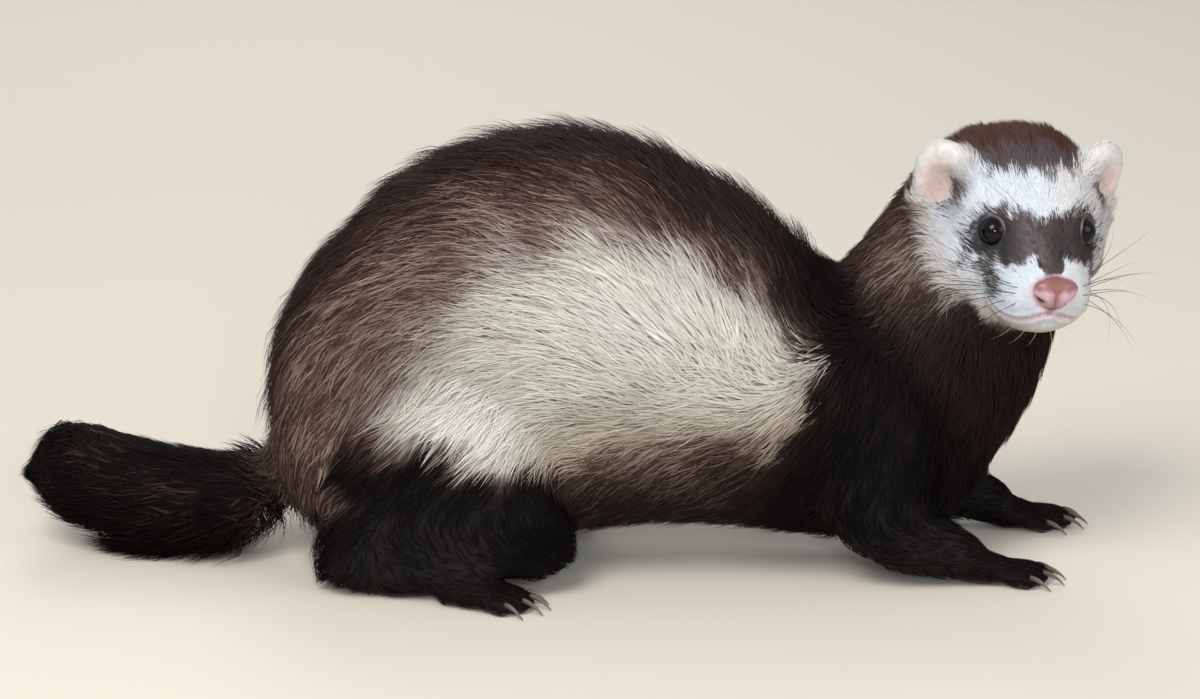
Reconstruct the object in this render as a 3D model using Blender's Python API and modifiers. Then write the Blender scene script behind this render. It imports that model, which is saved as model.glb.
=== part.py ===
"""A life-size ferret, standing with its back arched and its head turned to its right.

The animal faces +X, its right side is towards -Y and +Z is up. Sizes are in metres, from named
values in millimetres. The flesh is lofted, fused into one body and parted with thin cuts.
"""

import math
import random

import bmesh
import bpy
import numpy as np
from mathutils import Euler, Matrix, Vector
from mathutils.bvhtree import BVHTree

MM = 0.001
GAP = 0.3 * MM  # clearance between nodes that touch

# Offset from the modelling frame to the object's own frame, whose origin is the centre of the
# bounding box at floor level.
ORIGIN = Vector((-10.7, 0.0, 0.0)) * MM

# Trunk sections from the tail root to the chest: (back x, back z), (belly x, belly z), half width.
TRUNK = (
    ((-100, 46), (-96, 26), 14),
    ((-99, 58), (-88, 14), 28),
    ((-95.5, 74), (-73, 6), 37),
    ((-87.5, 88.5), (-62, 4.5), 40.5),
    ((-74, 106), (-49, 4.5), 42.5),
    ((-53, 122.5), (-33.5, 6), 43),
    ((-29.5, 131.5), (-15, 8), 42.5),
    ((-8.8, 133.3), (1.5, 10.5), 42),
    ((11.8, 129), (16.7, 12), 41),
    ((32.5, 118.3), (32, 12), 39),
    ((50.4, 107), (47, 10), 37),
    ((64, 96.5), (64, 8), 35),
    ((74.5, 90), (82, 8), 33),
    ((87, 81), (104, 13), 30),
    ((99.5, 70), (118, 27), 24),
)

# Neck sections: (nape x, nape z), (throat x, throat z), half width, centre y.
NECK = (
    ((67, 80), (110, 20), 30, 0),
    ((72.5, 90.5), (123, 39), 30.5, 1),
    ((80, 100), (131.5, 55), 29.5, 3),
    ((87, 109), (136, 67), 28.5, 6),
    ((94.5, 118), (138.5, 76), 27, 9),
    ((104, 122), (138.5, 82), 25, 12),
    ((112, 118), (134, 92), 18, 14),
)

# Head frame: its origin is midway between the eyes; x is the animal's right, y forward, z up.
HEAD_PLACE = Vector((127.8, -20.0, 106.1)) * MM
HEAD_YAW, HEAD_PITCH, HEAD_ROLL = (math.radians(a) for a in (-168.5, -10.0, -3.0))
# Head sections: distance forward of the eyes, half width, top, bottom.
SKULL = (
    (18.4, 6, -6.5, -15.5),
    (15.7, 10.4, -4.6, -22),
    (11, 13.8, -1.2, -26.2),
    (5, 15.6, 4.2, -27.6),
    (-1, 18, 10.5, -27.8),
    (-8, 23, 16, -27.8),
    (-16, 27.4, 19.8, -27.8),
    (-25, 29.2, 21.6, -27),
    (-34, 28, 21, -25.5),
    (-42, 23, 18, -21),
    (-48, 13, 11, -13),
)
SKULL_SQUARENESS = 2.25  # exponent of the sections' superellipse
EYE_OFFSET = Vector((12.9, -1.6, 0.4)) * MM
EYE_RADIUS = 4.7 * MM
EYE_AIM = Vector((0.72, 0.66, 0.2)).normalized()
LID_RADIUS, LID_WIDTH, LID_HEIGHT = 4.9 * MM, 1.3 * MM, 1.5 * MM  # the ring that the lids make round the eye

# Brushes that shape the right side of the face: place, size, and height in or out, all in millimetres.
FACE_BRUSHES = {
    "eye socket": ((16.3, 1.5, 1.3), (7, 7, 7), -1.5),
    "brow": ((9, 2, 9), (6, 6, 5), 1.1),
    "muzzle pad": ((8.5, 11, -16), (6, 7, 5), 1.7),
    "cheek": ((23, -13, -15), (9, 12, 10), 2.6),
    "temple": ((21, -20, 14), (9, 11, 9), -3.2),
    "hollow before the eye": ((13, 7, -5), (5, 6, 5), -1.3),
}
CHIN_BRUSH = ((0, 13, -22.5), (7, 5, 3.5), 1.0)
# Grooves: their points, width and depth, all in millimetres.
MOUTH_POINTS = ((0, 17, -16.6), (4.5, 15.4, -17.8), (9, 10.4, -17.6), (13, 4, -17.2), (16.5, -2, -16.6))
MOUTH_LINE = MOUTH_POINTS, 1.0, 1.3
LIP_GROOVE = ((0, 19, -14), (0, 17, -18)), 0.8, 0.8
NOSE_GROOVE = ((0, 22, -9), (0, 21, -15)), 0.7, 0.7
NOSE_BRUSHES = {
    "nostril": ((4.3, 20, -11.8), (1.5, 3, 1.2), -1.4),
    "nostril's outer slit": ((5.8, 18.5, -12.4), (1.4, 3, 1.0), -0.9),
    "wing of the nose": ((2.6, 21, -10), (2.2, 3, 3), 0.5),
}
NOSE_PLACE = Vector((-0.6, 17.8, -10.6)) * MM
NOSE_SIZE = Vector((6.5, 3.4, 4.6)) * MM
NOSE_WIDENING = 30  # share of its width by which the pad widens for each metre of height
EAR_PLACE = Vector((22.6, -21.5, 6.0)) * MM
EAR_RADII = Vector((10.8, 4.6, 12.2)) * MM
EAR_RIM = Vector((3.2, 0.4, 3.0)) * MM
EAR_HOLLOW_OFFSET = Vector((0.6, 3.6, -0.8)) * MM
EAR_TURN = Euler((math.radians(-8), math.radians(18), math.radians(-30)))

# Legs, as (x, y, z, radius in the leg's plane, radius across) down the right side; the left side
# is mirrored and shifted by a step.
HINDLEG = (
    (-62, -24, 56, 31, 17),
    (-46, -28, 44, 30, 17.5),
    (-30, -30, 31, 22, 15.5),
    (-28, -32, 21, 16, 14),
    (-48, -32, 15, 13.5, 12),
    (-73, -30, 10.5, 11, 10.5),
)
HINDFOOT = (
    (-64, -32, 7, 7.6, 8.4),
    (-50, -36, 4.9, 5.4, 8.4),
    (-38, -41, 4.4, 4.8, 8.4),
    (-32, -43.5, 4.2, 4.6, 8.4),
)
FORELEG = (
    (84, -17, 64, 19, 13),
    (82, -21, 46, 19, 13.5),
    (81, -24, 30, 17, 13),
    (84, -24.5, 20, 14, 12),
    (93, -24, 13.5, 11, 10.5),
    (103, -23.3, 9.8, 8.6, 8.6),
    (111, -22.8, 6.8, 6.6, 7.4),
)
# Of each limb: how far the left one is ahead of the right one's mirror image, the wrist or ankle,
# the paw's place and turn, and the length, width and height of the space ahead of the joint that the
# paw has to itself.
LIMBS = {
    "fore": {
        "leg": FORELEG, "foot": FORELEG[-3:], "step": Vector((13.5, 6.5, 0)) * MM,
        "joint": Vector((108, -22.9, 0)) * MM, "paw": Vector((118, -22.5, 0)) * MM,
        "turn": math.radians(-3), "space": Vector((60, 30, 18)) * MM,
    },
    "hind": {
        "leg": HINDLEG, "foot": HINDFOOT[-3:], "step": Vector((5, 0, 0)) * MM,
        "joint": Vector((-46, -37.5, 0)) * MM, "paw": Vector((-35, -43.5, 0)) * MM,
        "turn": math.radians(-17), "space": Vector((60, 30, 10.8)) * MM,
    },
}
SIDES = {"right": 1, "left": -1}

# Toes, inner to outer: sideways place, forward reach, turn outwards, radius.
TOES = (
    (6.6, 3.0, 20, 2.3), (4.1, 8.6, 9, 2.7), (0.9, 10.6, 2, 2.8),
    (-2.7, 9.8, -6, 2.8), (-6.0, 5.8, -16, 2.5),
)
TOE_LENGTH, TOE_TILT = 11 * MM, Matrix.Rotation(math.radians(-6), 4, "X")
TOE_LIFT = 0.5 * MM  # from the floor to a toe's underside
TOE_PAD_PLACE, TOE_PAD_LENGTH, TOE_PAD_HEIGHT = Vector((0, 3.2, 1.3)) * MM, 2.6 * MM, 1.7 * MM
TOE_PAD_WIDTH = 0.85  # share of the toe's own width
PALM_PLACE, PALM_SIZE = Vector((0, -3, 4.2)) * MM, Vector((7.4, 9, 4.4)) * MM
CLAW_LENGTH, CLAW_RADIUS, CLAW_STEPS, CLAW_SIDES = 6.5 * MM, 0.95 * MM, 3, 5
CLAW_DROP, CLAW_TAPER, CLAW_FLATNESS = 0.55, 0.86, 0.8  # shares of its length, radius and height
CLAW_ROOT, CLAW_LIFT = 4.2 * MM, 1.2 * MM  # place along the toe, and above its middle

# Tail, from root to tip: x, y, z, radius.
TAIL = (
    (-86, 0, 27, 13),
    (-96, 2, 22.5, 13.4),
    (-110, 5, 18.8, 13.2),
    (-122.5, 8, 17.2, 14.2),
    (-135, 10, 16.8, 16.6),
    (-145, 12, 17.2, 18.4),
    (-154, 13, 20.4, 16.4),
    (-163, 14, 23.4, 11.4),
    (-171, 15, 24.2, 6.2),
    (-177, 15.5, 24.2, 1.6),
)

# Where the body is parted: a point on each cut, and the direction in which the head or tail lies.
NECK_CUT = Vector((96, 0, 62)) * MM, Vector((0.80, 0, 0.60)).normalized()
TAIL_CUT = Vector((-98, 2, 22)) * MM, Vector((-0.97, 0.1, -0.12)).normalized()
HEAD_MARGIN, LEG_MARGIN = 3.6 * MM, 2.0 * MM  # how far the cuts round head and legs lie outside their forms
TAIL_SPACE = Vector((0, -60, -40)) * MM, Vector((120, 60, 24)) * MM  # corners of a box, from the tail's cut
FLOOR = Vector((0, 0, 0)), Vector((0, 0, -1))

# The coat's locks. The core below them lies inside the outline by the coat's depth, which fades out
# towards the neck, the tail root and the belly, each over a range of x or z in millimetres.
CORE_DEPTH, TAIL_CORE_SHARE = 4.5 * MM, 0.72
CORE_REAR, CORE_FRONT, CORE_BELLY = (-99, -80), (72, 40), (12, 45)
LOCK_WIDTHS, LOCK_THICKNESSES = (0.75, 1.0, 0.8), (1.0, 1.0, 0.7)  # shares, from root to tip
LOCK_SPREAD = (0.85, 1.15)  # smallest and largest lock, as shares of the named size
LOCK_SLOPE = 0.25  # how far down the flanks' locks lie
LOCK_CLEARANCE = 2.0 * MM  # from a lock to the forms of the legs and the cuts
# Heights of a lock's middle line above the core from root to tip, in millimetres. Rows run from one
# share of the length to another, and each covers an arc of the section.
TORSO_LOCK = {
    "length": 36 * MM, "width": 17 * MM, "thickness": 3.4 * MM, "heights": (-2.4, 1.4, 3.4, 6.0),
    "rows": 9, "span": (0.1, 0.94), "per_row": 9, "arc": math.radians(215), "jitter": 0.06, "seed": 7,
}
TAIL_LOCK = {
    "length": 27 * MM, "width": 12 * MM, "thickness": 3.0 * MM, "heights": (-2.0, 1.2, 3.6, 6.6),
    "rows": 4, "span": (0.2, 0.72), "per_row": 6, "arc": math.tau, "jitter": 0.1, "seed": 8,
}
RUMP_START, RUMP_LOCK = 0.78, 0.65  # where locks begin to shorten, and the last ones' share of the length

BODY_VOXEL, HEAD_VOXEL, PAW_VOXEL, EAR_VOXEL = 1.7 * MM, 0.85 * MM, 0.75 * MM, 0.6 * MM
FORM_VOXEL = 2.4 * MM
TRIANGLES = {"body": 2500, "head": 2000, "paw": 300, "ear": 240, "nose": 200, "form": 170, "head_form": 260}

COLOURS = {  # colour and roughness of each material
    "dark_coat": ((0.035, 0.022, 0.016), 0.7),
    "pale_coat": ((0.55, 0.46, 0.34), 0.75),
    "face_coat": ((0.72, 0.66, 0.58), 0.75),
    "nose_skin": ((0.55, 0.24, 0.20), 0.45),
    "eye": ((0.006, 0.004, 0.004), 0.05),
}


def clear_scene():
    for obj in list(bpy.data.objects):
        bpy.data.objects.remove(obj)


def new_collection(name, hidden=False):
    collection = bpy.data.collections.new(name)
    bpy.context.scene.collection.children.link(collection)
    collection.hide_render = hidden
    return collection


def material(name):
    colour, roughness = COLOURS[name]
    made = bpy.data.materials.new(name)
    made.use_nodes = True
    shader = made.node_tree.nodes["Principled BSDF"]
    shader.inputs["Base Color"].default_value = (*colour, 1)
    shader.inputs["Roughness"].default_value = roughness
    return made


def object_from_mesh(name, mesh, collection):
    obj = bpy.data.objects.new(name, mesh)
    collection.objects.link(obj)
    return obj


def evaluated_copy(obj):
    """The object's mesh with its modifiers applied, in its own coordinates."""
    graph = bpy.context.evaluated_depsgraph_get()
    graph.update()
    return bpy.data.meshes.new_from_object(obj.evaluated_get(graph))


def apply_modifiers(obj):
    mesh = evaluated_copy(obj)
    obj.modifiers.clear()
    obj.data = mesh
    return obj


def superellipse(angle, power):
    """A point of the unit superellipse at an angle."""
    c, s = math.cos(angle), math.sin(angle)
    size = (abs(c) ** power + abs(s) ** power) ** (-1 / power)
    return c * size, s * size


def loft(name, sections, collection, sides=28, power=2.0):
    """A closed body through sections, each a centre and two half axes."""
    bm = bmesh.new()
    ring_points = [superellipse(math.tau * i / sides, power) for i in range(sides)]
    rings = [
        [bm.verts.new(centre + up * c + across * s) for c, s in ring_points]
        for centre, up, across in sections
    ]
    for near, far in zip(rings, rings[1:]):
        for i in range(sides):
            j = (i + 1) % sides
            bm.faces.new((near[i], near[j], far[j], far[i]))
    bm.faces.new(rings[0][::-1])
    bm.faces.new(rings[-1])
    bmesh.ops.recalc_face_normals(bm, faces=bm.faces)
    mesh = bpy.data.meshes.new(name)
    bm.to_mesh(mesh)
    bm.free()
    return object_from_mesh(name, mesh, collection)


def trunk_sections():
    for (back_x, back_z), (belly_x, belly_z), half_width in TRUNK:
        back, belly = Vector((back_x, 0, back_z)) * MM, Vector((belly_x, 0, belly_z)) * MM
        yield (back + belly) / 2, (back - belly) / 2, Vector((0, half_width * MM, 0))


def neck_sections():
    for (nape_x, nape_z), (throat_x, throat_z), half_width, y in NECK:
        nape, throat = Vector((nape_x, y, nape_z)) * MM, Vector((throat_x, y, throat_z)) * MM
        yield (nape + throat) / 2, (nape - throat) / 2, Vector((0, half_width * MM, 0))


def head_matrix():
    turn = Euler((HEAD_PITCH, HEAD_ROLL, HEAD_YAW), "YXZ")
    return Matrix.Translation(HEAD_PLACE) @ turn.to_matrix().to_4x4()


def skull_sections(grow=0.0):
    frame = head_matrix()
    turn = frame.to_3x3()
    for forward, half_width, top, bottom in SKULL:
        centre = frame @ (Vector((0, forward, (top + bottom) / 2)) * MM)
        half_height = (top - bottom) / 2 * MM + grow
        yield centre, turn @ Vector((0, 0, half_height)), turn @ Vector((half_width * MM + grow, 0, 0))


def limb_sections(points, side=1, step=Vector(), grow=0.0):
    """Sections of a limb down the right side, or of its mirror image where side is -1."""
    centres = [Vector((x, y * side, z)) * MM + step for x, y, z, _, _ in points]
    last = len(centres) - 1
    for i, (_, _, _, in_plane, across) in enumerate(points):
        along = (centres[min(i + 1, last)] - centres[max(i - 1, 0)]).normalized()
        across_axis = (Vector((0, 1, 0)) - along * along.y).normalized()
        plane_axis = along.cross(across_axis)
        yield centres[i], plane_axis * (in_plane * MM + grow), across_axis * (across * MM + grow)


def tail_sections(share=1.0):
    points = [(x, y, z, radius * share, radius * share) for x, y, z, radius in TAIL]
    return limb_sections(points)


def with_round_ends(sections, share=0.55):
    """Adds a smaller section past each end, so that the loft closes in a rounded cap."""
    sections = list(sections)
    first, last = sections[0], sections[-1]
    out = (first[0] - sections[1][0]).normalized() * min(first[1].length, first[2].length) * share
    front = (first[0] + out, first[1] * share, first[2] * share)
    out = (last[0] - sections[-2][0]).normalized() * min(last[1].length, last[2].length) * share
    back = (last[0] + out, last[1] * share, last[2] * share)
    return [front, *sections, back]


def fuse(name, pieces, voxel, smoothing, collection):
    """One closed body round all the pieces, with soft joins."""
    bpy.ops.object.select_all(action="DESELECT")
    for piece in pieces:
        piece.select_set(True)
    bpy.context.view_layer.objects.active = pieces[0]
    bpy.ops.object.join()
    body = pieces[0]
    body.name = name
    remesh = body.modifiers.new("Remesh", "REMESH")
    remesh.mode = "VOXEL"
    remesh.voxel_size = voxel
    soften = body.modifiers.new("Smooth", "SMOOTH")
    soften.iterations = smoothing
    soften.factor = 0.5
    apply_modifiers(body)
    if body.name not in collection.objects:
        collection.objects.link(body)
    return body


def decimate(obj, triangles):
    """Reduces a closed body to about this many triangles."""
    obj.data.calc_loop_triangles()
    reduce = obj.modifiers.new("Decimate", "DECIMATE")
    reduce.ratio = min(1.0, triangles / len(obj.data.loop_triangles))
    reduce.use_collapse_triangulate = True
    return apply_modifiers(obj)


def boolean(obj, other, operation, solver="EXACT"):
    cut = obj.modifiers.new("Boolean", "BOOLEAN")
    cut.operation = operation
    cut.solver = solver
    cut.object = other
    return apply_modifiers(obj)


def duplicate(obj, name):
    return object_from_mesh(name, obj.data.copy(), obj.users_collection[0])


def keep_largest(obj):
    """Keeps only the object's largest closed surface."""
    bm = bmesh.new()
    bm.from_mesh(obj.data)
    unseen, islands = set(bm.verts), []
    while unseen:
        seed = unseen.pop()
        island, front = {seed}, [seed]
        while front:
            for edge in front.pop().link_edges:
                for vert in edge.verts:
                    if vert in unseen:
                        unseen.discard(vert)
                        island.add(vert)
                        front.append(vert)
        islands.append(island)
    islands.sort(key=len)
    bmesh.ops.delete(bm, geom=[v for island in islands[:-1] for v in island], context="VERTS")
    bm.to_mesh(obj.data)
    bm.free()
    return obj


def box(name, lowest, highest, frame, collection):
    """A box between two corners of a frame."""
    lowest, highest = Vector(lowest), Vector(highest)
    bm = bmesh.new()
    bmesh.ops.create_cube(bm, size=1.0)
    size = Matrix.Diagonal((*(highest - lowest), 1))
    bmesh.ops.transform(bm, matrix=frame @ Matrix.Translation((lowest + highest) / 2) @ size, verts=bm.verts)
    mesh = bpy.data.meshes.new(name)
    bm.to_mesh(mesh)
    bm.free()
    return object_from_mesh(name, mesh, collection)


def ball(name, frame, collection, segments=14, rings=9):
    bm = bmesh.new()
    bmesh.ops.create_uvsphere(bm, u_segments=segments, v_segments=rings, radius=1.0)
    bmesh.ops.transform(bm, matrix=frame, verts=bm.verts)
    mesh = bpy.data.meshes.new(name)
    bm.to_mesh(mesh)
    bm.free()
    return object_from_mesh(name, mesh, collection)


class Clay:
    """The points of a mesh, pushed about by soft brushes in the head's frame."""

    def __init__(self, obj, frame):
        self.obj, self.frame = obj, np.array(frame)
        self.inverse = np.linalg.inv(self.frame)
        count = len(obj.data.vertices)
        points, normals = np.empty(count * 3), np.empty(count * 3)
        obj.data.vertices.foreach_get("co", points)
        obj.data.vertices.foreach_get("normal", normals)
        self.points = points.reshape(-1, 3) @ self.inverse[:3, :3].T + self.inverse[:3, 3]
        self.normals = normals.reshape(-1, 3) @ self.inverse[:3, :3].T

    def push(self, centre, radii, amount, direction=None):
        """Moves points near a centre along their normals, or along a direction."""
        away = ((self.points - np.array(centre)) / np.array(radii)) ** 2
        weight = np.exp(-2 * away.sum(axis=1))[:, None] * amount
        self.points += weight * (self.normals if direction is None else np.array(direction))

    def crease(self, line, width, depth):
        """Presses a groove along a chain of points."""
        line = [np.array(p) for p in line]
        nearest = np.full(len(self.points), np.inf)
        for start, end in zip(line, line[1:]):
            span = end - start
            share = np.clip((self.points - start) @ span / (span @ span), 0, 1)
            gap = np.linalg.norm(self.points - start - share[:, None] * span, axis=1)
            nearest = np.minimum(nearest, gap)
        self.points -= self.normals * (depth * np.exp(-((nearest / width) ** 2)))[:, None]

    def ring(self, centre, radius, width, amount):
        """Raises a ring round a centre, such as an eyelid."""
        away = np.linalg.norm(self.points - np.array(centre), axis=1)
        self.points += self.normals * (amount * np.exp(-(((away - radius) / width) ** 2)))[:, None]

    def finish(self):
        world = self.points @ self.frame[:3, :3].T + self.frame[:3, 3]
        self.obj.data.vertices.foreach_set("co", world.ravel())
        self.obj.data.update()


def mirrored(vector, side):
    return Vector((vector.x * side, vector.y, vector.z))


def brush(clay, place, size, height, side=1):
    clay.push(mirrored(Vector(place) * MM, side), Vector(size) * MM, height * MM)


def groove(clay, points, width, depth, side=1):
    clay.crease([mirrored(Vector(point) * MM, side) for point in points], width * MM, depth * MM)


def carve_face(head):
    """Brow, eye sockets, lids, muzzle pads, cheeks, chin and the line of the mouth."""
    clay = Clay(head, head_matrix())
    for side in SIDES.values():
        for place, size, height in FACE_BRUSHES.values():
            brush(clay, place, size, height, side)
        eye_front = mirrored(EYE_OFFSET + EYE_AIM * EYE_RADIUS, side)
        clay.ring(eye_front, LID_RADIUS, LID_WIDTH, LID_HEIGHT)
        groove(clay, *MOUTH_LINE, side)
    brush(clay, *CHIN_BRUSH)
    groove(clay, *LIP_GROOVE)
    clay.finish()


def ear_place(side):
    frame = head_matrix() @ Matrix.Diagonal((side, 1, 1, 1))
    return frame @ Matrix.Translation(EAR_PLACE) @ EAR_TURN.to_matrix().to_4x4()


def ear(side, collection):
    """A rounded ear, hollowed towards the front into a shallow cup."""
    place = ear_place(side)
    shape = ball("ear", place @ Matrix.Diagonal((*EAR_RADII, 1)), collection, 24, 16)
    hollow_size = EAR_RADII - EAR_RIM
    hollow_place = place @ Matrix.Translation(EAR_HOLLOW_OFFSET)
    hollow = ball("hollow", hollow_place @ Matrix.Diagonal((*hollow_size, 1)), collection, 24, 16)
    if side < 0:
        shape.data.flip_normals()
        hollow.data.flip_normals()
    boolean(shape, hollow, "DIFFERENCE")
    bpy.data.objects.remove(hollow)
    return decimate(fuse("ear", [shape], EAR_VOXEL, 4, collection), TRIANGLES["ear"])


def nose(collection):
    """The bare pad of the nose, with a nostril each side of the groove."""
    frame = head_matrix()
    place = frame @ Matrix.Translation(NOSE_PLACE) @ Matrix.Diagonal((*NOSE_SIZE, 1))
    pad = ball("nose", place, collection, 26, 20)
    clay = Clay(pad, frame)
    clay.points[:, 0] *= 1 + NOSE_WIDENING * (clay.points[:, 2] - NOSE_PLACE.z)
    for side in SIDES.values():
        for place, size, height in NOSE_BRUSHES.values():
            brush(clay, place, size, height, side)
    groove(clay, *NOSE_GROOVE)
    clay.finish()
    return decimate(pad, TRIANGLES["nose"])


def claw(frame, collection):
    """A curved, tapering claw that points along +y and down."""
    turn, sections = frame.to_3x3(), []
    for i in range(CLAW_STEPS + 1):
        along = i / CLAW_STEPS
        centre = Vector((0, along, -CLAW_DROP * along * along)) * CLAW_LENGTH
        radius = CLAW_RADIUS * (1 - CLAW_TAPER * along)
        up, across = Vector((0, 0, radius)), Vector((radius * CLAW_FLATNESS, 0, 0))
        sections.append((frame @ centre, turn @ up, turn @ across))
    return loft("claw", sections, collection, CLAW_SIDES)


def paw(name, place, turn, side, stub, collection):
    """A paw with five toes, and its claws. Its length runs along +x before it is turned."""
    base = Matrix.Translation(place) @ Matrix.Rotation(turn - math.pi / 2, 4, "Z")
    base = base @ Matrix.Diagonal((-side, 1, 1, 1))
    palm = base @ Matrix.Translation(PALM_PLACE) @ Matrix.Diagonal((*PALM_SIZE, 1))
    pieces, claws = [stub, ball("palm", palm, collection)], []
    for across, reach, spread, radius in TOES:
        radius *= MM
        root = base @ Matrix.Translation(Vector((across, reach, 0)) * MM)
        root = root @ Matrix.Rotation(math.radians(-spread), 4, "Z")
        toe = root @ Matrix.Translation((0, 0, radius + TOE_LIFT)) @ TOE_TILT
        pieces.append(ball("toe", toe @ Matrix.Diagonal((radius, TOE_LENGTH / 2, radius, 1)), collection))
        pad = root @ Matrix.Translation(TOE_PAD_PLACE)
        pad_size = Matrix.Diagonal((radius * TOE_PAD_WIDTH, TOE_PAD_LENGTH, TOE_PAD_HEIGHT, 1))
        pieces.append(ball("pad", pad @ pad_size, collection))
        claws.append(root @ Matrix.Translation((0, CLAW_ROOT, radius + CLAW_LIFT)))
    if side > 0:
        for piece in pieces[1:]:
            piece.data.flip_normals()
    made = fuse(name, pieces, PAW_VOXEL, 3, collection)
    return made, [claw(frame, collection) for frame in claws]


def sink_core(body):
    """Moves the back and flanks in by the depth of the coat that the locks stand for."""
    for vert, normal in zip(body.data.vertices, [v.normal.copy() for v in body.data.vertices]):
        x, z = vert.co.x / MM, vert.co.z / MM
        share = smoothstep(*CORE_REAR, x) * smoothstep(*CORE_FRONT, x) * smoothstep(*CORE_BELLY, z)
        vert.co -= normal * CORE_DEPTH * share


def smoothstep(start, end, value):
    share = min(max((value - start) / (end - start), 0), 1)
    return share * share * (3 - 2 * share)


def surface_tree(obj):
    points = [vert.co.copy() for vert in obj.data.vertices]
    return BVHTree.FromPolygons(points, [list(face.vertices) for face in obj.data.polygons])


def lock(place, lie, tree, size, scale, collection):
    """A flat, tapering lock that starts inside a surface and lies along it."""
    step = size["length"] * scale / (len(size["heights"]) - 1)
    spine = []
    for height in size["heights"]:
        found, normal, _, _ = tree.find_nearest(place)
        way = lie(found)
        way = (way - normal * way.dot(normal)).normalized()
        spine.append((found + normal * height * MM, normal, way.cross(normal)))
        place = found + way * step
    bm = bmesh.new()
    rings = []
    for (centre, normal, across), wide, thick in zip(spine, LOCK_WIDTHS, LOCK_THICKNESSES):
        side = across * (size["width"] * scale * wide / 2)
        top = normal * (size["thickness"] * thick / 2)
        rings.append([bm.verts.new(centre + corner) for corner in (side, top, -side, -top)])
    tip = bm.verts.new(spine[-1][0])
    for near, far in zip(rings, rings[1:]):
        for i in range(4):
            bm.faces.new((near[i], near[i - 1], far[i - 1], far[i]))
    for i in range(4):
        bm.faces.new((rings[-1][i], rings[-1][i - 1], tip))
    bm.faces.new(rings[0])
    bmesh.ops.triangulate(bm, faces=bm.faces)
    bmesh.ops.recalc_face_normals(bm, faces=bm.faces)
    mesh = bpy.data.meshes.new("lock")
    bm.to_mesh(mesh)
    bm.free()
    return object_from_mesh("lock", mesh, collection)


def along_sections(sections, share):
    """The section at a share of the way along the tops of a list of sections."""
    tops = [centre + up for centre, up, _ in sections]
    steps = [(far - near).length for near, far in zip(tops, tops[1:])]
    left = share * sum(steps)
    for index, step in enumerate(steps):
        if left <= step or index == len(steps) - 1:
            return [near.lerp(far, left / step) for near, far in zip(sections[index], sections[index + 1])]
        left -= step


def clear_of(obj, trees, plane):
    """Whether each point of an object is clear of closed forms and short of a plane."""
    for vert in obj.data.vertices:
        for tree in trees:
            found, normal, _, distance = tree.find_nearest(vert.co)
            if (vert.co - found).dot(normal) < 0 or distance < LOCK_CLEARANCE:
                return False
        if (vert.co - plane[0]).dot(plane[1]) > -LOCK_CLEARANCE:
            return False
    return True


def course(sections, point):
    """The direction in which a list of sections runs near a point."""
    middles = [centre for centre, _, _ in sections]
    nearest = min(range(1, len(middles) - 1), key=lambda i: (middles[i] - point).length)
    return (middles[nearest + 1] - middles[nearest - 1]).normalized()


def torso_lie(sections, point):
    """Backwards along the trunk, and somewhat down."""
    return course(sections, Vector((point.x, 0, point.z))) - Vector((0, 0, LOCK_SLOPE))


def locks(obj, sections, lie, size, neighbours, plane, forms):
    """Rows of locks over a node, each row half a lock out of step, and clear of what lies beside it."""
    tree, trees = surface_tree(obj), [surface_tree(form) for form in neighbours]
    draw = random.Random(size["seed"])
    start, end = size["span"]
    for row in range(size["rows"]):
        share = start + (end - start) * row / (size["rows"] - 1)
        centre, up, across = along_sections(sections, share)
        shortening = 1 - (1 - RUMP_LOCK) * smoothstep(RUMP_START, 1, share)
        for column in range(size["per_row"]):
            turn = (column + row % 2 / 2 + 0.25) / size["per_row"] - 0.5
            angle = size["arc"] * turn + draw.uniform(-size["jitter"], size["jitter"])
            place = centre + up * math.cos(angle) + across * math.sin(angle)
            made = lock(place, lie, tree, size, draw.uniform(*LOCK_SPREAD) * shortening, forms)
            if clear_of(made, trees, plane):
                yield made
            else:
                bpy.data.objects.remove(made)


def coat(torso, tail, neighbours, forms):
    """Joins the locks to the torso and the tail."""
    trunk, tail_run = list(trunk_sections())[::-1], list(tail_sections())
    made = locks(torso, trunk, lambda p: torso_lie(trunk, p), TORSO_LOCK, neighbours, NECK_CUT, forms)
    unite(torso, list(made), "MANIFOLD")
    tail_plane = TAIL_CUT[0], -TAIL_CUT[1]
    made = locks(tail, tail_run, lambda p: course(tail_run, p), TAIL_LOCK, (), tail_plane, forms)
    unite(tail, list(made), "MANIFOLD")
    bisect(tail, *FLOOR)


def grown(obj, distance):
    """A copy of a closed form with each point moved out along its normal."""
    copy = duplicate(obj, f"{obj.name}_grown")
    for vert, normal in zip(copy.data.vertices, [v.normal.copy() for v in obj.data.vertices]):
        vert.co += normal * distance
    return copy


def bisect(obj, point, direction, offset=0.0):
    """Cuts away what lies past a plane in a direction, and closes the cut."""
    bm = bmesh.new()
    bm.from_mesh(obj.data)
    everything = bm.verts[:] + bm.edges[:] + bm.faces[:]
    place = point + direction * offset
    cut = bmesh.ops.bisect_plane(
        bm, geom=everything, dist=1e-7, plane_co=place, plane_no=direction, clear_outer=True
    )
    edges = [item for item in cut["geom_cut"] if isinstance(item, bmesh.types.BMEdge)]
    bmesh.ops.holes_fill(bm, edges=edges)
    bmesh.ops.triangulate(bm, faces=[face for face in bm.faces if len(face.verts) > 4])
    bmesh.ops.recalc_face_normals(bm, faces=bm.faces)
    bm.to_mesh(obj.data)
    bm.free()
    return obj


def part_limb(body, name, form):
    """Takes the part of the body inside a form as a limb, and leaves a thin cut round it."""
    limb = boolean(duplicate(body, name), form, "INTERSECT")
    clearance = grown(form, GAP)
    boolean(body, clearance, "DIFFERENCE")
    bpy.data.objects.remove(clearance)
    keep_largest(body)
    return keep_largest(limb)


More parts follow.
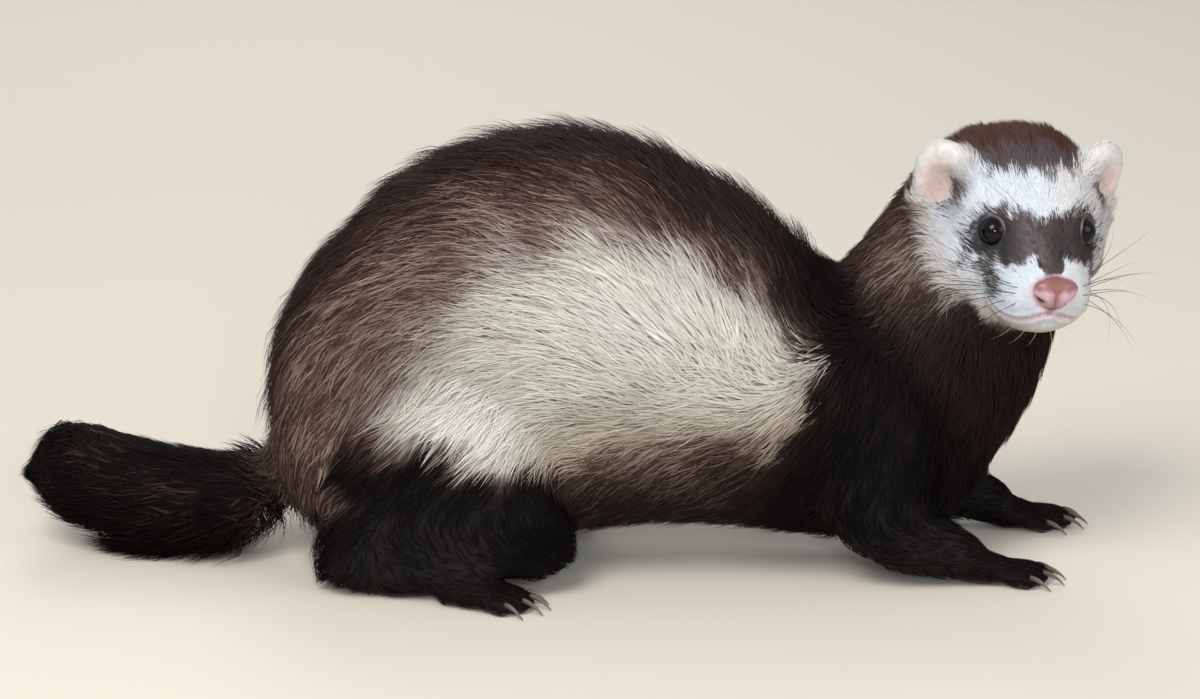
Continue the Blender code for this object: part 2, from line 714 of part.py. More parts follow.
def unite(obj, pieces, solver="EXACT"):
    """Joins closed pieces to an object as one closed body."""
    joined = new_collection("joined", hidden=True)
    for piece in pieces:
        joined.objects.link(piece)
    union = obj.modifiers.new("Union", "BOOLEAN")
    union.operation = "UNION"
    union.operand_type = "COLLECTION"
    union.collection = joined
    union.solver = solver
    apply_modifiers(obj)
    for piece in pieces:
        bpy.data.objects.remove(piece)
    bpy.data.collections.remove(joined)
    return keep_largest(obj)


def finish(obj, name, colour, collection):
    """Names a node, shades it and moves it to the object's own frame."""
    bm = bmesh.new()
    bm.from_mesh(obj.data)
    bmesh.ops.triangulate(bm, faces=bm.faces)
    bm.to_mesh(obj.data)
    bm.free()
    obj.data.transform(Matrix.Translation(-ORIGIN))
    obj.name = obj.data.name = name
    obj.data.materials.clear()
    obj.data.materials.append(bpy.data.materials[colour])
    obj.data.shade_smooth()
    obj.data.set_sharp_from_angle(angle=math.radians(60))
    for old in list(obj.users_collection):
        old.objects.unlink(obj)
    collection.objects.link(obj)


def limb_step(limb, side):
    """How far a limb stands from its place on the right side, or from that place's mirror image."""
    return LIMBS[limb]["step"] if side < 0 else Vector()


def body_pieces(forms):
    """The lofts that the flesh is fused from."""
    yield loft("trunk", trunk_sections(), forms, 36)
    yield loft("tail", with_round_ends(tail_sections(TAIL_CORE_SHARE)), forms)
    for side in SIDES.values():
        for limb, points in (("hind", HINDLEG), ("hind", HINDFOOT), ("fore", FORELEG)):
            sections = limb_sections(points, side, limb_step(limb, side))
            yield loft("limb", with_round_ends(sections), forms)


def head_pieces(forms):
    yield loft("neck", with_round_ends(neck_sections()), forms)
    yield loft("skull", skull_sections(), forms, 40, SKULL_SQUARENESS)


def tail_box(forms):
    """A box that holds the tail, its near face square to the tail's root."""
    place, direction = TAIL_CUT
    turn = direction.to_track_quat("X", "Z").to_matrix().to_4x4()
    return box("tail_box", *TAIL_SPACE, Matrix.Translation(place) @ turn, forms)


def limb_form(points, side, step, forms):
    """The form that parts a limb from the body: the limb itself, a little larger."""
    sections = with_round_ends(limb_sections(points, side, step, LEG_MARGIN))
    form = fuse("form", [loft("form", sections, forms)], FORM_VOXEL, 4, forms)
    return decimate(form, TRIANGLES["form"])


def head_form(forms):
    """The form that parts the head from the neck: the skull, a little larger."""
    sections = with_round_ends(skull_sections(HEAD_MARGIN), 0.5)
    shape = loft("form", sections, forms, 40, SKULL_SQUARENESS)
    return decimate(fuse("head_form", [shape], FORM_VOXEL, 3, forms), TRIANGLES["head_form"])


def make_eye(head, side, name, forms, parts):
    """An eyeball, and the socket that it sits in."""
    place = head_matrix() @ Matrix.Translation(mirrored(EYE_OFFSET, side))
    socket = ball("socket", place @ Matrix.Scale(EYE_RADIUS + GAP, 4), forms, 20, 14)
    boolean(head, socket, "DIFFERENCE")
    eyeball = ball("eyeball", place @ Matrix.Scale(EYE_RADIUS, 4), forms)
    finish(eyeball, name, "eye", parts)


def make_ear(head, side, name, forms, parts):
    """An ear, and the seat for its root in the head."""
    size = Matrix.Diagonal((*(EAR_RADII + Vector((GAP, GAP, GAP))), 1))
    seat = ball("seat", ear_place(side) @ size, forms, 24, 16)
    if side < 0:
        seat.data.flip_normals()
    boolean(head, seat, "DIFFERENCE")
    finish(ear(side, forms), name, "face_coat", parts)


def make_head(form, forms, parts):
    head = fuse("head", list(head_pieces(forms)), HEAD_VOXEL, 5, forms)
    carve_face(head)
    bisect(head, NECK_CUT[0], -NECK_CUT[1])
    decimate(head, TRIANGLES["head"])
    boolean(head, form, "INTERSECT")
    for name, side in SIDES.items():
        make_eye(head, side, f"eye_{name}", forms, parts)
        make_ear(head, side, f"ear_{name}", forms, parts)
    pad = nose(forms)
    boolean(head, grown(pad, GAP), "DIFFERENCE")
    finish(pad, "nose", "nose_skin", parts)
    finish(keep_largest(head), "head", "face_coat", parts)


def make_paw(name, place, turn, side, limb, frame, forms, parts):
    """A paw from the wrist or ankle to the claws, flat on the floor."""
    stub = loft("stub", with_round_ends(limb), forms)
    made, claws = paw(name, place, turn, side, stub, forms)
    bisect(made, frame.translation, -frame.col[0].xyz, -GAP)
    decimate(made, TRIANGLES["paw"])
    unite(made, claws)
    bisect(made, *FLOOR)
    finish(keep_largest(made), name, "dark_coat", parts)


def make_limb(body, limb, side_name, side, forms, parts):
    """Parts a leg from the body and gives it its paw. Returns the form that it was parted by."""
    sizes, step = LIMBS[limb], limb_step(limb, side)
    turn, space = sizes["turn"] * side, sizes["space"]
    joint, place = (Vector((p.x, p.y * side, p.z)) + step for p in (sizes["joint"], sizes["paw"]))
    frame = Matrix.Translation(joint) @ Matrix.Rotation(turn, 4, "Z")
    form = limb_form(sizes["leg"], side, step, forms)
    leg = part_limb(body, "leg", form)
    lowest, highest = Vector((0, -space.y / 2, -space.z)), Vector((space.x, space.y / 2, space.z))
    boolean(leg, box("reach", lowest, highest, frame, forms), "DIFFERENCE")
    finish(keep_largest(leg), f"{limb}leg_{side_name}", "dark_coat", parts)
    foot = limb_sections(sizes["foot"], side, step)
    make_paw(f"{limb}paw_{side_name}", place, turn, side, foot, frame, forms, parts)
    return form


def make_body(form, forms, parts):
    """Neck, torso, tail and limbs, parted from one fused body."""
    body = fuse("body", [*body_pieces(forms), *head_pieces(forms)], BODY_VOXEL, 6, forms)
    sink_core(body)
    decimate(body, TRIANGLES["body"])
    bisect(body, *FLOOR)
    boolean(body, grown(form, GAP), "DIFFERENCE")
    neck = bisect(duplicate(body, "neck"), NECK_CUT[0], -NECK_CUT[1])
    bisect(body, *NECK_CUT, -GAP)
    neighbours = [tail_box(forms)]
    tail = part_limb(body, "tail", neighbours[0])
    for side_name, side in SIDES.items():
        for limb in LIMBS:
            neighbours.append(make_limb(body, limb, side_name, side, forms, parts))
    coat(body, tail, neighbours, forms)
    finish(keep_largest(neck), "neck", "dark_coat", parts)
    finish(tail, "tail", "dark_coat", parts)
    finish(body, "torso", "pale_coat", parts)


def main():
    clear_scene()
    for name in COLOURS:
        material(name)
    parts = new_collection("ferret")
    forms = new_collection("forms", hidden=True)
    form = head_form(forms)
    make_head(form, forms, parts)
    make_body(form, forms, parts)
    for obj in list(forms.objects):
        bpy.data.objects.remove(obj)
    bpy.data.collections.remove(forms)


if __name__ == "__main__":
    main()
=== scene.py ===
"""The looks of a life-size ferret that stands with its back arched and its head turned to its right.

The animal faces +X, its right side is towards -Y and +Z is up. Shapes are worked out in
millimetres. One skin takes the place of the flesh, and tufts grown from it are the coat.
"""

import math
from contextlib import contextmanager

import bmesh
import bpy
import numpy as np
from mathutils import Euler, Matrix, Vector
from mathutils.bvhtree import BVHTree
from mathutils.kdtree import KDTree


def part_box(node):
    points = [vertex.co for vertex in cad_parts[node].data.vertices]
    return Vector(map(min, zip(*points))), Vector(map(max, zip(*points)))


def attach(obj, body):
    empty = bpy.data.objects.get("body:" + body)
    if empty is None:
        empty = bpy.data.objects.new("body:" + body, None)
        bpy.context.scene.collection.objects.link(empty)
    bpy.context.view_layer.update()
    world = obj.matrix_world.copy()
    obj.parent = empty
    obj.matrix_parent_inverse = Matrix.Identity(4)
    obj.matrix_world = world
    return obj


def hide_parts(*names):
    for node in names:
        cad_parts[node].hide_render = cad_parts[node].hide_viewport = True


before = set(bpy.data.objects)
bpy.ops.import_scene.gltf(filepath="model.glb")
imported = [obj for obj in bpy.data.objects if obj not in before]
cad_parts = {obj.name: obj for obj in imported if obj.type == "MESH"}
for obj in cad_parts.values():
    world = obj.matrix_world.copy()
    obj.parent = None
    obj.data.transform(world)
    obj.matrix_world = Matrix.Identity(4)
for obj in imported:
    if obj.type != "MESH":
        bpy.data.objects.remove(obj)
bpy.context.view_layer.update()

MM = 0.001
SIDES = {"right": 1, "left": -1}
BOTH = tuple(SIDES.values())

FLESH = (
    "head", "neck", "torso", "tail", "ear_left", "ear_right",
    "foreleg_left", "foreleg_right", "hindleg_left", "hindleg_right",
    "forepaw_left", "forepaw_right", "hindpaw_left", "hindpaw_right",
)
FLESH_GROWTH, SKIN_VOXEL = 0.4, 1.3  # closes the cuts between the nodes, and the skin's fineness

# Head frame, in millimetres: x is the animal's right, y forward, z up, from midway between the eyes.
NOSE_AHEAD, NOSE_BELOW = 19.4, 11.0  # from the middle of the eyeballs to the nose pad
EYES_BACK, EYES_UP = 1.6, 0.4  # from the head frame's origin to the middle of the eyeballs
HEAD_REACH = 45  # the head's vertices lie nearer to the origin than this
EYE_PLACE, EYE_RADIUS = np.array((12.9, -1.6, 0.4)), 4.7
EYE_AIM = np.array((0.72, 0.66, 0.2)) / np.linalg.norm((0.72, 0.66, 0.2))
EYE_BLACK, EYE_IRIS = np.array((0.003, 0.0025, 0.003)), np.array((0.002, 0.001, 0.0005))
EYE_HOLLOW = 3.9  # how deep the skin is sunk behind the eyeball, from its centre
NOSE_PLACE, NOSE_SIZE, NOSE_WIDENING = np.array((-0.6, 17.8, -10.9)), np.array((6.4, 3.4, 4.9)), 0.065
NOSE_GROOVE = ((0, 22, -9), (0, 21, -15))
MOUTH = ((0, 17, -16.8), (4.5, 15.4, -18.2), (9, 10.4, -18.0), (12, 6, -17.4))
LIP_GROOVE = ((0, 19, -14), (0, 17, -17.5))
EAR_PLACE = Vector((22.6, -21.5, 6.0))
EAR_TURN = Euler((math.radians(-8), math.radians(18), math.radians(-30)))
EAR_HOLLOW, EAR_HOLLOW_SIZE = np.array((0.5, 3.6, -0.6)), np.array((8.6, 5.0, 12.4))

# Strokes that shape one side of the face and of the nose: centre, size, and how far out, or in.
FACE_STROKES = (
    ((8.6, 11.5, -14.5), (5, 5.5, 4.2), 0.9), ((9, 4, 7.2), (6, 4, 3), 0.6),
    ((20, -4, -9), (6, 7, 6), 0.9), ((12.5, 9, -6), (3.5, 5, 3), -0.5),
)
NOSE_STROKES = (
    ((4.3, 20, -12.8), (1.4, 3, 1.0), -2.3), ((5.6, 18.5, -12.2), (1.5, 3, 0.8), -1.6),
    ((5.0, 18.6, -13.6), (0.8, 3, 1.5), -0.7), ((2.7, 21, -11), (2.0, 3, 3), 0.7),
)
# The painted shade inside a nostril: centre, size, strength.
NOSTRIL = (
    ((4.3, 20, -12.8), (1.2, 4, 0.9), 1.5), ((6.0, 18.5, -12.0), (1.4, 4, 0.8), 1.5),
    ((5.0, 18.6, -13.8), (0.5, 4, 1.4), 0.8),
)
# The lids: angle out from their edge, distance from the eyeball's centre, share of the rim's dark.
LID_PROFILE = (
    (-3.0, 4.60, 1.0), (-0.5, 4.84, 1.0), (1.2, 4.98, 1.0), (3.2, 5.08, 0.7), (6.0, 5.12, 0.3),
    (9.0, 5.06, 0.4), (13.0, 4.9, 0.8), (20.0, 4.5, 1.0), (32.0, 3.9, 1.0),
)
# Dark streaks below the eye and on the cheek: line, width, strength.
STREAKS = (
    (((15.0, 2, -4.0), (16.4, 3, -8.5), (15.2, 8, -12.6)), 3.0, 0.8),
    (((20, -3, -6), (21.5, -2, -10.5)), 2.0, 0.5),
)

# Paws: place of the right one, turn outwards, and how far the left one is ahead of its mirror image.
PAWS = {
    "fore": ((128.7, -22.5, 0), -3, (13.5, 6.5, 0)),
    "hind": ((-24.3, -43.5, 0), -17, (5, 0, 0)),
}
# Toes, inner to outer: sideways place, forward reach, turn outwards, radius.
TOES = (
    (6.6, 3.0, 20, 2.3), (4.1, 8.6, 9, 2.7), (0.9, 10.6, 2, 2.8), (-2.7, 9.8, -6, 2.8), (-6.0, 5.8, -16, 2.5),
)
CLAW_LENGTH, CLAW_RADIUS, CLAW_DROP = 6.5, 0.95, 0.55
CLAW_ROOT, CLAW_LIFT = 4.2, 1.2
CLAW_TAPER, CLAW_FLATNESS = 0.86, 0.72  # what its tip has lost in radius, and its width to its height

WHISKER_STEPS, WHISKER_SIDES = 12, 5

HEAD_HAIR_FROM = np.array((0, 27, -9))  # the place before the nose from which the head's hair spreads
# The lie of the trunk's coat: x, height, and the angle above straight backwards.
TRUNK_LIE = (
    (-97, 50, -80), (-92, 70, -70), (-80, 92, -45), (-65, 108, -25), (-45, 120, -8), (-20, 127, 8),
    (0, 125, 22), (20, 118, 35), (40, 109, 50), (57, 100, 60), (68, 95, 50),
    (-80, 72, -75), (-76, 88, -50), (-61, 100, -27), (-47, 108, -15), (-18, 118, 8), (-13, 107, 10),
    (-18, 95, 5), (-6, 92, 17), (-30, 80, -12), (10, 110, 45), (22, 101, 58), (40, 91, 78), (57, 82, 92),
    (11, 79, 40), (22, 71, 30), (36, 62, 15), (11, 54, 8), (40, 50, -15), (63, 41, -45), (25, 35, -50),
    (-10, 60, 3), (-47, 60, -35), (-30, 45, -45), (-60, 50, -60), (-5, 35, -30), (80, 60, -40),
    (88, 80, -50), (80, 90, 0), (95, 60, -65), (0, 12, -8), (40, 12, -8), (75, 20, -40),
)
LIE_REACH = 13.0

# The pale side of the trunk: its outline in x and height, and how softly the dark begins beyond it.
PALE_SIDE = (
    (-62, 57, 25), (-54, 68, 25), (-45, 79, 22), (-36, 90, 20), (-28, 98, 18), (-20, 104, 16), (-9, 108, 15),
    (2, 110, 14), (13, 111, 13), (25, 107, 13), (37, 103, 13), (47, 98, 12), (54, 92, 11), (61, 84, 11),
    (67, 76, 10), (72, 67, 10), (72, 58, 10), (68, 51, 10), (60, 46, 11), (48, 46, 12), (37, 47, 12),
    (25, 46, 11), (13, 44, 10), (2, 40, 9), (-9, 36, 8), (-21, 37, 8), (-32, 41, 8), (-44, 47, 10),
    (-56, 51, 16),
)

# Tufts
MOST_TRIANGLES = 195000  # in one piece of the coat
LONG_HAIR, LONG_WALK, SHORT_WALK = 8, 16, 9  # length of long hair, and steps of the way along the skin
LOWEST_HAIR, LOWEST_SKIN = 0.1, 0.02  # heights above the floor
ROOT_DEPTH = 0.5  # how far a root lies under the skin, in millimetres
CLUMP_REACH = 6  # a tuft leans only to a leader nearer than this
PATCH = 0.003  # the size of a tuft's patch on the unwrap

# Colours, as 0 to 255 in sRGB.
PALETTE = {
    # tan is partly painted shade low on the flank.
    # white also serves as painted light on the upper flank.
    "cream": (202, 198, 186), "white": (228, 227, 222), "haze": (168, 158, 151), "tan": (172, 155, 131),
    "beige": (176, 156, 134), "fawn": (160, 142, 122), "grey": (128, 112, 104), "bark": (98, 76, 66),
    "brown": (76, 54, 46), "rump": (142, 119, 109), "rump_guard": (58, 43, 38), "dark": (38, 26, 24),
    # face carries the cool tint of the light, and cheek is partly painted shade.
    "black": (9, 6, 7), "face": (216, 222, 231), "face_warm": (228, 218, 206), "cheek": (176, 164, 154),
    "mask": (66, 43, 36), "mask_dark": (24, 14, 13), "mask_grey": (112, 98, 102),
    "crown_grey": (90, 80, 84), "crown_brown": (76, 48, 39), "neck_pale": (168, 150, 138),
    "ear_rim": (226, 223, 220), "lip": (206, 172, 180), "ear_skin": (226, 200, 196),
    "mouth_line": (180, 138, 145), "lid": (132, 114, 122), "lid_edge": (20, 13, 15),
    # nostril is the painted shade inside the nostrils and under the nose pad.
    "nose_pink": (186, 152, 160), "nose_brown": (122, 70, 64), "nostril": (44, 16, 18),
    "claw": (104, 88, 80), "claw_root": (34, 26, 25), "pad": (100, 74, 70),
    "whisker": (40, 30, 30), "whisker_pale": (206, 196, 188),
}


# Numbers

def colour(name):
    """A palette colour in linear light."""
    value = np.array(PALETTE[name]) / 255
    return np.where(value <= 0.04045, value / 12.92, ((value + 0.055) / 1.055) ** 2.4)


def unit(vectors):
    vectors = np.asarray(vectors, float)
    return vectors / np.maximum(np.linalg.norm(vectors, axis=-1, keepdims=True), 1e-9)


def clamp(value):
    return np.clip(value, 0, 1)


def ease(start, end, value):
    """0 at start and 1 at end, smooth between; start may be the greater."""
    share = clamp((value - start) / (end - start))
    return share * share * (3 - 2 * share)


def mix(first, second, share):
    """A blend by a share for each point, of arrays or of palette colours given by name."""
    first, second = (colour(end) if isinstance(end, str) else np.asarray(end) for end in (first, second))
    share = np.asarray(share, float)[..., None]
    return first * (1 - share) + second * share


def ramp(names, stops, value):
    """A colour for each value, blended between palette colours that stand at stops."""
    shades = np.array([colour(name) for name in names])
    return np.stack([np.interp(value, stops, shades[:, i]) for i in range(3)], axis=-1)


def bell(gap, width):
    """1 at no gap, fading out by about twice the width."""
    return np.exp(-((gap / width) ** 2))


def blob(points, centre, size):
    """1 at a centre, fading out by about twice the size."""
    return np.exp(-(((points - np.array(centre)) / np.array(size)) ** 2).sum(axis=-1))


def side_blob(points, x, z, width, height):
    """A blob seen from the side, which runs through the whole breadth."""
    return blob(points[:, [0, 2]], (x, z), (width, height))


def waves(points, length, seed):
    """A smooth random field of about -1 to 1, with features of about a length."""
    draw = np.random.default_rng(seed)
    field = np.zeros(len(points))
    for _ in range(9):
        way = unit(draw.normal(size=3)) * math.tau / (length * draw.uniform(0.7, 1.6))
        field += np.sin(points @ way + draw.uniform(0, math.tau))
    return field / 3.2


def stretches(line):
    """The start and end of each stretch of a chain of points."""
    line = np.array(line, float)
    return zip(line[:-1], line[1:])


def line_gap(points, line):
    """The distance of each point from a chain of points."""
    nearest = np.full(len(points), np.inf)
    for start, end in stretches(line):
        span = end - start
        share = clamp((points - start) @ span / max(span @ span, 1e-9))
        nearest = np.minimum(nearest, np.linalg.norm(points - start - share[:, None] * span, axis=1))
    return nearest


def averaged(values, table, rounds):
    """Each vertex's value averaged with its neighbours', so many rounds over."""
    for _ in range(rounds):
        values = values[table].mean(axis=1)
    return values


def relax(points, table, share, rounds):
    """Moves each vertex towards the middle of its neighbours."""
    for _ in range(rounds):
        points = points + share[:, None] * (points[table].mean(axis=1) - points)
    return points


def tree_of(points):
    tree = KDTree(len(points))
    for index, point in enumerate(points):
        tree.insert(point, index)
    tree.balance()
    return tree


# Meshes

def rows_of(items, key, width, kind=np.float32):
    """A property of each item of a Blender collection, as the rows of an array."""
    values = np.empty(len(items) * width, kind)
    items.foreach_get(key, values)
    return values.reshape(-1, width)


def points_of(mesh):
    """The mesh's vertices in millimetres."""
    return rows_of(mesh.vertices, "co", 3).astype(float) / MM


def normals_of(mesh):
    return rows_of(mesh.vertices, "normal", 3).astype(float)


def set_points(mesh, points):
    """Puts the mesh's vertices at points given in millimetres."""
    mesh.vertices.foreach_set("co", (points * MM).astype(np.float32).ravel())
    mesh.update()


@contextmanager
def editing(mesh):
    """The mesh opened for bmesh, and written back after it."""
    body = bmesh.new()
    body.from_mesh(mesh)
    yield body
    body.to_mesh(mesh)
    body.free()


def paint(mesh, colours):
    """Keeps a colour for each vertex in the attribute that the materials read."""
    layer = mesh.color_attributes.new("Coat", "FLOAT_COLOR", "POINT")
    values = np.ones((len(colours), 4), np.float32)
    values[:, :3] = clamp(colours)
    layer.data.foreach_set("color", values.ravel())


def add_object(name, data):
    obj = bpy.data.objects.new(name, data)
    bpy.context.scene.collection.objects.link(obj)
    return obj


def add_mesh(name, points, corners, colours, uv=None, normals=None):
    """A smooth object from points in millimetres and an array of faces that all have as many corners."""
    mesh = bpy.data.meshes.new(name)
    count, sides = corners.shape
    mesh.vertices.add(len(points))
    mesh.vertices.foreach_set("co", (points * MM).astype(np.float32).ravel())
    mesh.loops.add(count * sides)
    mesh.loops.foreach_set("vertex_index", corners.astype(np.int32).ravel())
    mesh.polygons.add(count)
    mesh.polygons.foreach_set("loop_start", np.arange(0, count * sides, sides, dtype=np.int32))
    mesh.polygons.foreach_set("use_smooth", np.ones(count, bool))
    if uv is not None:
        layer = mesh.uv_layers.new(name="OFBake")
        layer.data.foreach_set("uv", uv[corners.ravel()].astype(np.float32).ravel())
    mesh.update(calc_edges=True)
    if normals is not None:
        mesh.normals_split_custom_set_from_vertices(normals.astype(np.float32))
    paint(mesh, colours)
    return add_object(name, mesh)


def ride(obj, slot, material, *nodes):
    """Puts a piece on the body with a material, in place of the nodes named; the slot is not used."""
    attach(obj, "root")
    if nodes:
        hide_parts(*nodes)
    obj.data.materials.append(MATERIALS[material])


def dress(obj, slot, material, *nodes):
    """A closed piece of its own, with its faces turned outwards."""
    ride(obj, slot, material, *nodes)
    with editing(obj.data) as body:
        bmesh.ops.recalc_face_normals(body, faces=body.faces)


def neighbour_table(mesh, width=8):
    """For each vertex the vertices that it shares an edge with, filled up with itself."""
    count = len(mesh.vertices)
    ends = rows_of(mesh.edges, "vertices", 2, np.int32)
    near, far = np.concatenate([ends, ends[:, ::-1]]).T
    order = np.argsort(near, kind="stable")
    near, far = near[order], far[order]
    rank = np.arange(len(near)) - np.searchsorted(near, np.arange(count))[near]
    table = np.repeat(np.arange(count)[:, None], width, axis=1)
    kept = rank < width
    table[near[kept], rank[kept]] = far[kept]
    return table


# Places on the head and the paws

def node_middle(node):
    low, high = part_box(node)
    return np.array((low + high) / 2) / MM


def head_frame():
    """Origin and axes of the head, from the places of the eyes and the nose."""
    right_eye, left_eye = node_middle("eye_right"), node_middle("eye_left")
    middle = (right_eye + left_eye) / 2
    right = unit(right_eye - left_eye)
    ahead = node_middle("nose") - middle
    flat = unit(ahead - right * (ahead @ right))
    above = np.cross(right, flat)
    down = math.atan2(NOSE_BELOW, NOSE_AHEAD)
    forward = flat * math.cos(down) + above * math.sin(down)
    up = np.cross(right, forward)
    return middle + forward * EYES_BACK - up * EYES_UP, np.array((right, forward, up))


HEAD_ORIGIN, HEAD_AXES = head_frame()


def to_head(points):
    return (points - HEAD_ORIGIN) @ HEAD_AXES.T


def from_head(points):
    return np.asarray(points) @ HEAD_AXES + HEAD_ORIGIN


def mirrored(points, side):
    return np.asarray(points, float) * np.array((side, 1, 1))


def ear_matrix(side):
    """From an ear's own frame, in which its cup opens towards +y, to the object's."""
    head = Matrix([*([*row, at] for row, at in zip(HEAD_AXES.T, HEAD_ORIGIN)), (0, 0, 0, 1)])
    place = Matrix.Translation(EAR_PLACE) @ EAR_TURN.to_matrix().to_4x4()
    return np.array(head @ Matrix.Diagonal((side, 1, 1, 1)) @ place)


def to_frame(points, matrix):
    inverse = np.linalg.inv(matrix)
    return points @ inverse[:3, :3].T + inverse[:3, 3]


def on_surface(head, line, spacing=0.5):
    """A chain of points laid on the surface."""
    tree = tree_of(head)
    chain = []
    for start, end in stretches(line):
        steps = max(1, int(np.linalg.norm(end - start) / spacing))
        chain += [np.array(tree.find(start + (end - start) * i / steps)[0]) for i in range(steps)]
    return np.array([*chain, tree.find(line[-1])[0]])


def mouth_gap(head, side):
    """The distance of each point from one side's line of the mouth."""
    return line_gap(head, on_surface(head, mirrored(MOUTH, side)))


def nose_gap(head, margin):
    """How far each point lies from the nose's middle, where 1 is a margin outside the pad."""
    return np.linalg.norm((head - NOSE_PLACE) / (NOSE_SIZE + margin), axis=1)


def about_eye(head, side):
    """The way, the distance and the angle off its aim, in degrees, from an eye's centre to each point."""
    away = head - mirrored(EYE_PLACE, side)
    far = np.linalg.norm(away, axis=1)
    aimed = (away / far[:, None]) @ mirrored(EYE_AIM, side)
    return away, far, np.degrees(np.arccos(np.clip(aimed, -1, 1)))


def claw_frames():
    """The frame of each claw: it grows along +y and curves down."""
    for place, turn, step in PAWS.values():
        for side in BOTH:
            at = Vector((place[0], place[1] * side, 0)) + Vector(step) * (side < 0)
            base = Matrix.Translation(at) @ Matrix.Rotation(math.radians(turn * side - 90), 4, "Z")
            base = base @ Matrix.Diagonal((-side, 1, 1, 1))
            for across, reach, spread, radius in TOES:
                root = base @ Matrix.Translation((across, reach, 0))
                root = root @ Matrix.Rotation(math.radians(-spread), 4, "Z")
                yield np.array(root @ Matrix.Translation((0, CLAW_ROOT, radius + CLAW_LIFT)))


# Skin

def remeshed(obj):
    modifier = obj.modifiers.new("Remesh", "REMESH")
    modifier.mode = "VOXEL"
    modifier.voxel_size = SKIN_VOXEL * MM
    graph = bpy.context.evaluated_depsgraph_get()
    graph.update()
    mesh = bpy.data.meshes.new_from_object(obj.evaluated_get(graph))
    obj.modifiers.clear()
    obj.data = mesh
    return obj


def flesh_body():
    """All nodes of flesh joined into one closed surface."""
    mesh = bpy.data.meshes.new("skin")
    with editing(mesh) as body:
        for name in FLESH:
            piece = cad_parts[name].data.copy()
            with editing(piece) as part:
                bmesh.ops.remove_doubles(part, verts=part.verts, dist=1e-6)
                part.normal_update()
                for vert, normal in zip(part.verts, [vert.normal.copy() for vert in part.verts]):
                    vert.co += normal * FLESH_GROWTH * MM
            body.from_mesh(piece)
            bpy.data.meshes.remove(piece)
    return remeshed(add_object("skin", mesh))


def coat_area(points):
    """1 where the solids carry locks, else 0."""
    x, _, z = points.T
    return np.where((x < 80) & (z > 8) | (x < -84), 1.0, 0.0)


def sink_locks(obj, rounds=14, steps=12, most=0.022):
    """Lowers what stands out until the locks are gone and the core below them is left."""
    mesh = obj.data
    points, table = points_of(mesh), neighbour_table(mesh)
    area = coat_area(points)[:, None]
    for _ in range(rounds):
        normals = unit(averaged(normals_of(mesh), table, 5))
        for _ in range(steps):
            pull = points[table].mean(axis=1) - points
            rise = (pull * normals).sum(axis=1, keepdims=True)
            points = points + area * (np.minimum(rise, most) * 0.9 * normals + 0.15 * (pull - rise * normals))
        set_points(mesh, points)
    ears = sum(blob(points, ear_matrix(side)[:3, 3], (12, 9, 13)) for side in BOTH)
    share = np.where(area[:, 0] > 0, 0.6, 0.2) * (1 - np.clip(1.6 * ears, 0, 0.85))
    set_points(mesh, relax(points, table, share, 14))


def refine_face(obj):
    """Splits the faces of the muzzle, eyes and mouth finer."""
    head = to_head(points_of(obj.data))
    chosen = (head[:, 1] > -9) & (np.abs(head[:, 0]) < 26) & (head[:, 2] > -32) & (head[:, 2] < 14)
    chosen &= np.linalg.norm(head, axis=1) < HEAD_REACH
    with editing(obj.data) as body:
        edges = [e for e in body.edges if chosen[e.verts[0].index] and chosen[e.verts[1].index]]
        bmesh.ops.subdivide_edges(body, edges=edges, cuts=2, use_grid_fill=True)
        bmesh.ops.triangulate(body, faces=[f for f in body.faces if len(f.verts) > 4])
    points = points_of(obj.data)
    head = to_head(points)
    near_face = ease(-10, -6, head[:, 1]) * (np.linalg.norm(head, axis=1) < HEAD_REACH)
    set_points(obj.data, relax(points, neighbour_table(obj.data), 0.55 * near_face, 12))


def press(head, normals, centre, size, amount):
    """Pushes points near a centre out along their normals, or in."""
    away = (((head - np.array(centre)) / np.array(size)) ** 2).sum(axis=1)
    return normals * (np.exp(-2 * away) * amount)[:, None]


def shape_face(skin):
    """Brows, muzzle pads, lips, the line of the mouth, and the hollows in which the eyes sit."""
    mesh = skin.obj.data
    head = to_head(points_of(mesh))
    normals = normals_of(mesh) @ HEAD_AXES.T
    near = (np.linalg.norm(head, axis=1) < HEAD_REACH)[:, None]
    change = np.zeros_like(head)
    for side in BOTH:
        for centre, size, amount in FACE_STROKES:
            change += press(head, normals, mirrored(centre, side), size, amount)
        crease = mouth_gap(head, side)
        change -= normals * (0.65 * bell(crease, 0.6) * ease(2, 10, head[:, 1]))[:, None]
        lips = np.where(head[:, 2] < -17.6, 1, 0.8)
        change += normals * (0.45 * bell(crease - 1.6, 0.9) * lips)[:, None]
    change += press(head, normals, (0, 14, -22), (6, 4, 3), 0.5)
    groove = line_gap(head, on_surface(head, LIP_GROOVE))
    change -= normals * (0.8 * bell(groove, 0.55))[:, None]
    head = head + change * near
    for side in BOTH:
        away, far, angle = about_eye(head, side)
        inner = ease(80, 60, angle) * (far < 9)
        depth = 1 - inner + inner * np.minimum(far, EYE_HOLLOW) / far
        head = mirrored(EYE_PLACE, side) + away * depth[:, None]
    skin.move(from_head(head))


def shape_ears(skin):
    """Makes the ears slimmer and taller, with thick rounded rims."""
    points = skin.points
    for name, side in SIDES.items():
        matrix = ear_matrix(side)
        local = to_frame(points, matrix)
        own = ease(0.3, 0.8, skin.parts[f"ear_{name}"])
        flat = np.linalg.norm(local[:, [0, 2]] / (10.8, 12.2), axis=1)
        rim = ease(0.55, 0.95, flat) * own * ease(-9, -1, local[:, 2])
        tall = own * ease(-6, 4, local[:, 2])
        change = unit(local * (1, 0, 1)) * (rim * 0.9)[:, None]
        change[:, 0] -= (0.13 * local[:, 0] + 0.9) * tall
        change[:, 2] += 0.15 * np.maximum(local[:, 2], 0) * tall
        points = points + change @ matrix[:3, :3].T
    skin.move(points)


